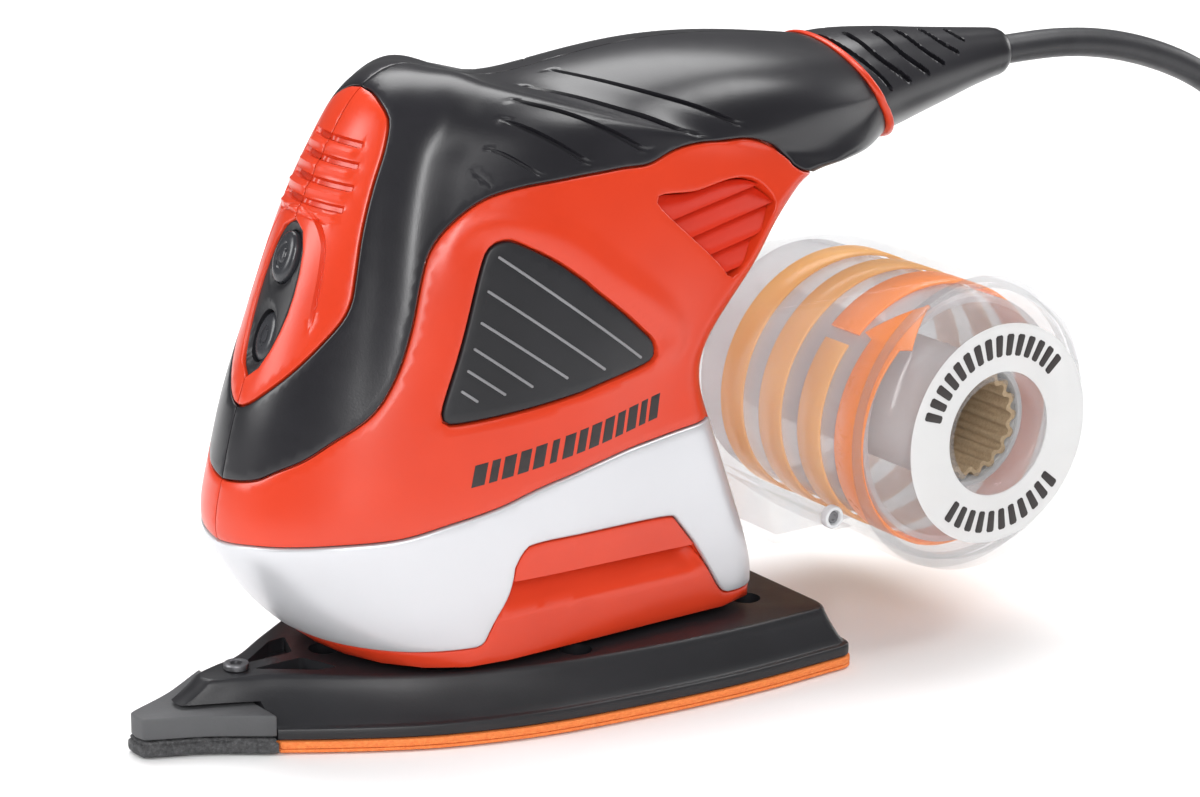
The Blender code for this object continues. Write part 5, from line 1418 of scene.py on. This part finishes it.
OUT_Y, OUT_D = (-45, 5, 12, 20, 30, 38, 43, 45), (0, 0, 0.25, 1.0, 3.8, 8.0, 11.6, 13.5)
IN_Y, IN_D = (-43, 5, 12, 20, 29, 36.5, 42), (2.0, 2.0, 2.25, 3.1, 6.0, 10.2, 15.0)
outer = [(-45.0, 1.6), (-44.85, 0.9), (-44.5, 0.4), (-43.9, 0.1), (-43.2, 0.0)] + [(y, taper(y, OUT_Y, OUT_D)) for y in np.linspace(-35, 43.6, 30)] + [(44.4, 13.2), (44.85, 14.2), (45.0, 15.4)]
inner = [(-42.9, 2.1), (-42.0, 2.0)] + [(y, taper(y, IN_Y, IN_D)) for y in np.linspace(-35, 42, 24)]
shell = can_body("canister_clear", outer)
cut(shell, can_body("c", inner), rod("c", 36.0, -60, -30, "Y", (CAN_X, 0, CAN_Z), 96), block("c", (40, 66), (-9.2, 9.2), (52.0, 61.0)))
swap(shell, "smoke", "canister_shell")
cap_profile = arc([(39.6, -45.3), (39.3, -48.9), (36.8, -53.2), (32.5, -56.0), (28.5, -57.0), (15.6, -57.0), (13.6, -55.4), (13.6, -47.5), (15.2, -47.5), (15.5, -54.6), (27.5, -54.9),
                   (31.5, -53.7), (34.9, -51.0), (36.7, -47.8), (36.7, -45.3)], (0.4, 4, 4, 4, 4, 1.5, 1.5, 0.3, 0.3, 0.8, 2, 3, 3, 2, 0.3), 4)
swap(turned("cap_front", cap_profile, "Y", (CAN_X, 0, CAN_Z), 128, angle=40), "light_grey", "end_cap", mat="cap_clear")

# face ring of the cap, and tick marks round it in two arcs
ring_profile = arc([(29.6, -56.86), (28.6, -57.12), (17.2, -57.12), (16.6, -57.0), (16.6, -56.6), (28.6, -56.6)], (0.2, 0.3, 0.3, 0.1, 0, 0), 3)
swap(turned("cap_face", ring_profile, "Y", (CAN_X, 0, CAN_Z), 128, angle=40), "light_grey", mat="face_white", body="cap")
MARKS = []
for a0, a1, n in ((42, 160, 15), (231, 319, 11)):
    MARKS += [a0 + (a1 - a0) * i / (n - 1) for i in range(n)]
verts, faces = [], []
for a in MARKS:
    ca, sa = math.cos(math.radians(a)), math.sin(math.radians(a))
    prof = []
    for r, w in ((20.9, 0.6), (21.3, 1.0), (26.2, 1.2), (26.7, 0.8)):
        prof.append((r, -w))
    for r, w in ((26.7, 0.8), (26.2, 1.2), (21.3, 1.0), (20.9, 0.6)):
        prof.append((r, w))
    base = len(verts)
    for y, f in ((-57.0, 1.0), (-57.18, 1.0), (-57.22, 0.93)):
        for r, w in prof:
            rr = 23.8 + (r - 23.8) * f
            verts.append((CAN_X + ca * rr - sa * w * f, y, CAN_Z + sa * rr + ca * w * f))
    m = len(prof)
    for i in range(2):
        for j in range(m):
            k = (j + 1) % m
            faces.append((base + i * m + j, base + i * m + k, base + (i + 1) * m + k, base + (i + 1) * m + j))
    faces.append(tuple(base + j for j in range(m)))
    faces.append(tuple(base + 2 * m + j for j in range(m))[::-1])
swap(mesh("cap_ticks", verts, faces, angle=30), "black", mat="ink", body="cap")

swap(turned("cyclone_wall", arc([(31.6, -42.5), (33.4, -42.5), (33.4, 27.0), (31.6, 27.0)], (0.5, 0.5, 0.5, 0.5), 3), "Y", (CAN_X, 0, CAN_Z), 96), "smoke", "cyclone_tube", mat="clear_tube")
swap(turned("filter_core", arc([(15.8, -46.5), (17.4, -46.5), (17.4, 34.0), (15.8, 34.0)], (0.5, 0.5, 0.5, 0.5), 3), "Y", (CAN_X, 0, CAN_Z), 96), "light_grey", "filter_frame", mat="tube_grey")
rings = []
for y in np.linspace(-46.5, 33.0, 24):
    rings.append([(CAN_X + r * math.cos(a), y, CAN_Z + r * math.sin(a)) for a, r in
                  [(q, 14.25 + 0.95 * math.copysign(abs(math.cos(18 * q)) ** 0.7, math.cos(18 * q))) for q in np.linspace(0, 2 * math.pi, 432, endpoint=False)]])
for y in np.linspace(33.0, -46.5, 24):
    rings.append([(CAN_X + r * math.cos(a), y, CAN_Z + r * math.sin(a)) for a, r in
                  [(q, 12.6 + 0.75 * math.copysign(abs(math.cos(18 * q)) ** 0.7, math.cos(18 * q))) for q in np.linspace(0, 2 * math.pi, 432, endpoint=False)]])
swap(loft("pleated_filter", rings, close=True, angle=50), "tan", "filter")


def ribbon(name, r, y0, pitch, a0, a1, half, thick, tip=0.0, step=3.0):
    rings = []
    for a in np.linspace(a0, a1, max(2, int(abs(a1 - a0) / step))):
        w = half
        if tip and abs(a1 - a) < tip:
            w = max(0.4, half * 1.8 * abs(a1 - a) / tip)
        y = y0 + pitch * (a - a0) / 360.0
        c, s = math.cos(math.radians(a)), math.sin(math.radians(a))
        e = min(0.25, w * 0.3)
        rings.append([(CAN_X + c * rr, y + dy, CAN_Z + s * rr) for rr, dy in
                      ((r + 0.25, -w), (r, -w + e), (r, w - e), (r + 0.25, w), (r + thick - 0.25, w), (r + thick, w - e), (r + thick, -w + e), (r + thick - 0.25, -w))])
    return loft(name, rings, angle=50)


swap(ribbon("swirl_band", 34.1, 18.0, 16.5, 326, -578, 4.6, 0.9), "amber", "swirl_vane")
swap(ribbon("swirl_pointer", 34.1, -23.7, 16.5, -584, -970, 5.6, 0.9, 26, 2.0), "bright_orange", "swirl_arrow")
swap(turned("canister_boss", [(3.0, -45.3), (3.0, -46.9), (2.8, -47.25), (2.4, -47.4), (2.1, -47.35), (1.9, -47.0), (1.85, -46.2), (0.05, -46.2), (0.05, -45.3)], "Y", (77, 0, 40), 48), "light_grey", "canister_screw", mat="frost_solid")
swap(turned("canister_screw_head", [(1.6, -46.25), (1.6, -46.7), (1.4, -46.85), (0.9, -46.85), (0.7, -46.6), (0.05, -46.6), (0.05, -46.25)], "Y", (77, 0, 40), 36), "dark_steel", body="canister")

# ------------------------------------------------------- floor and lights
m = Mat("floor")
m.colour(m.noise(300, 2), (0.3, (0.905, 0.905, 0.905)), (0.7, (0.925, 0.925, 0.925)))
m.rough(m.noise(40, 3), 0.7, 0.85)
m.put(Specular_IOR_Level=0.2)
fm = bpy.data.meshes.new("floor")
fm.from_pydata([(-5, -5, -0.0006), (5, -5, -0.0006), (5, 5, -0.0006), (-5, 5, -0.0006)], [], [(0, 1, 2, 3)])
fm.materials.append(m.m)
floor = bpy.data.objects.new("floor", fm)
SCENE.collection.objects.link(floor)

world = bpy.data.worlds.new("studio")
SCENE.world = world
world.use_nodes = True
world.node_tree.nodes["Background"].inputs["Color"].default_value = (1, 1, 1, 1)
world.node_tree.nodes["Background"].inputs["Strength"].default_value = 0.15


def softbox(name, at, aim, size, power):
    li = bpy.data.lights.new(name, "AREA")
    li.shape = "RECTANGLE"
    li.size, li.size_y = size
    li.energy = power
    ob = bpy.data.objects.new(name, li)
    ob.location = at
    ob.rotation_euler = (Vector(aim) - Vector(at)).to_track_quat("-Z", "Y").to_euler()
    SCENE.collection.objects.link(ob)


softbox("top_box", (0.40, 0.48, 1.30), (0.02, 0, 0.06), (1.4, 0.9), 25)
softbox("left_box", (-1.20, 0.46, 0.74), (-0.02, 0, 0.10), (0.5, 0.8), 11)
softbox("front_box", (-0.15, -1.5, 0.95), (0.02, 0, 0.06), (0.9, 0.30), 2.5)
softbox("crest_box", (-0.62, -0.98, 0.66), (-0.02, 0, 0.10), (0.07, 0.9), 10)
softbox("grip_box", (0.80, -0.42, 1.05), (0.05, 0, 0.12), (0.45, 0.28), 4.5)
softbox("rim_box", (1.40, 0.16, 0.30), (0.05, 0, 0.10), (0.5, 0.5), 4)

for n, ob in frame["nodes"].items():
    if n in REPLACED:
        continue
    for s in ob.material_slots:
        key = s.material.name.split(".")[0] if s.material else "steel"
        s.material = M.get(key, M["steel"])
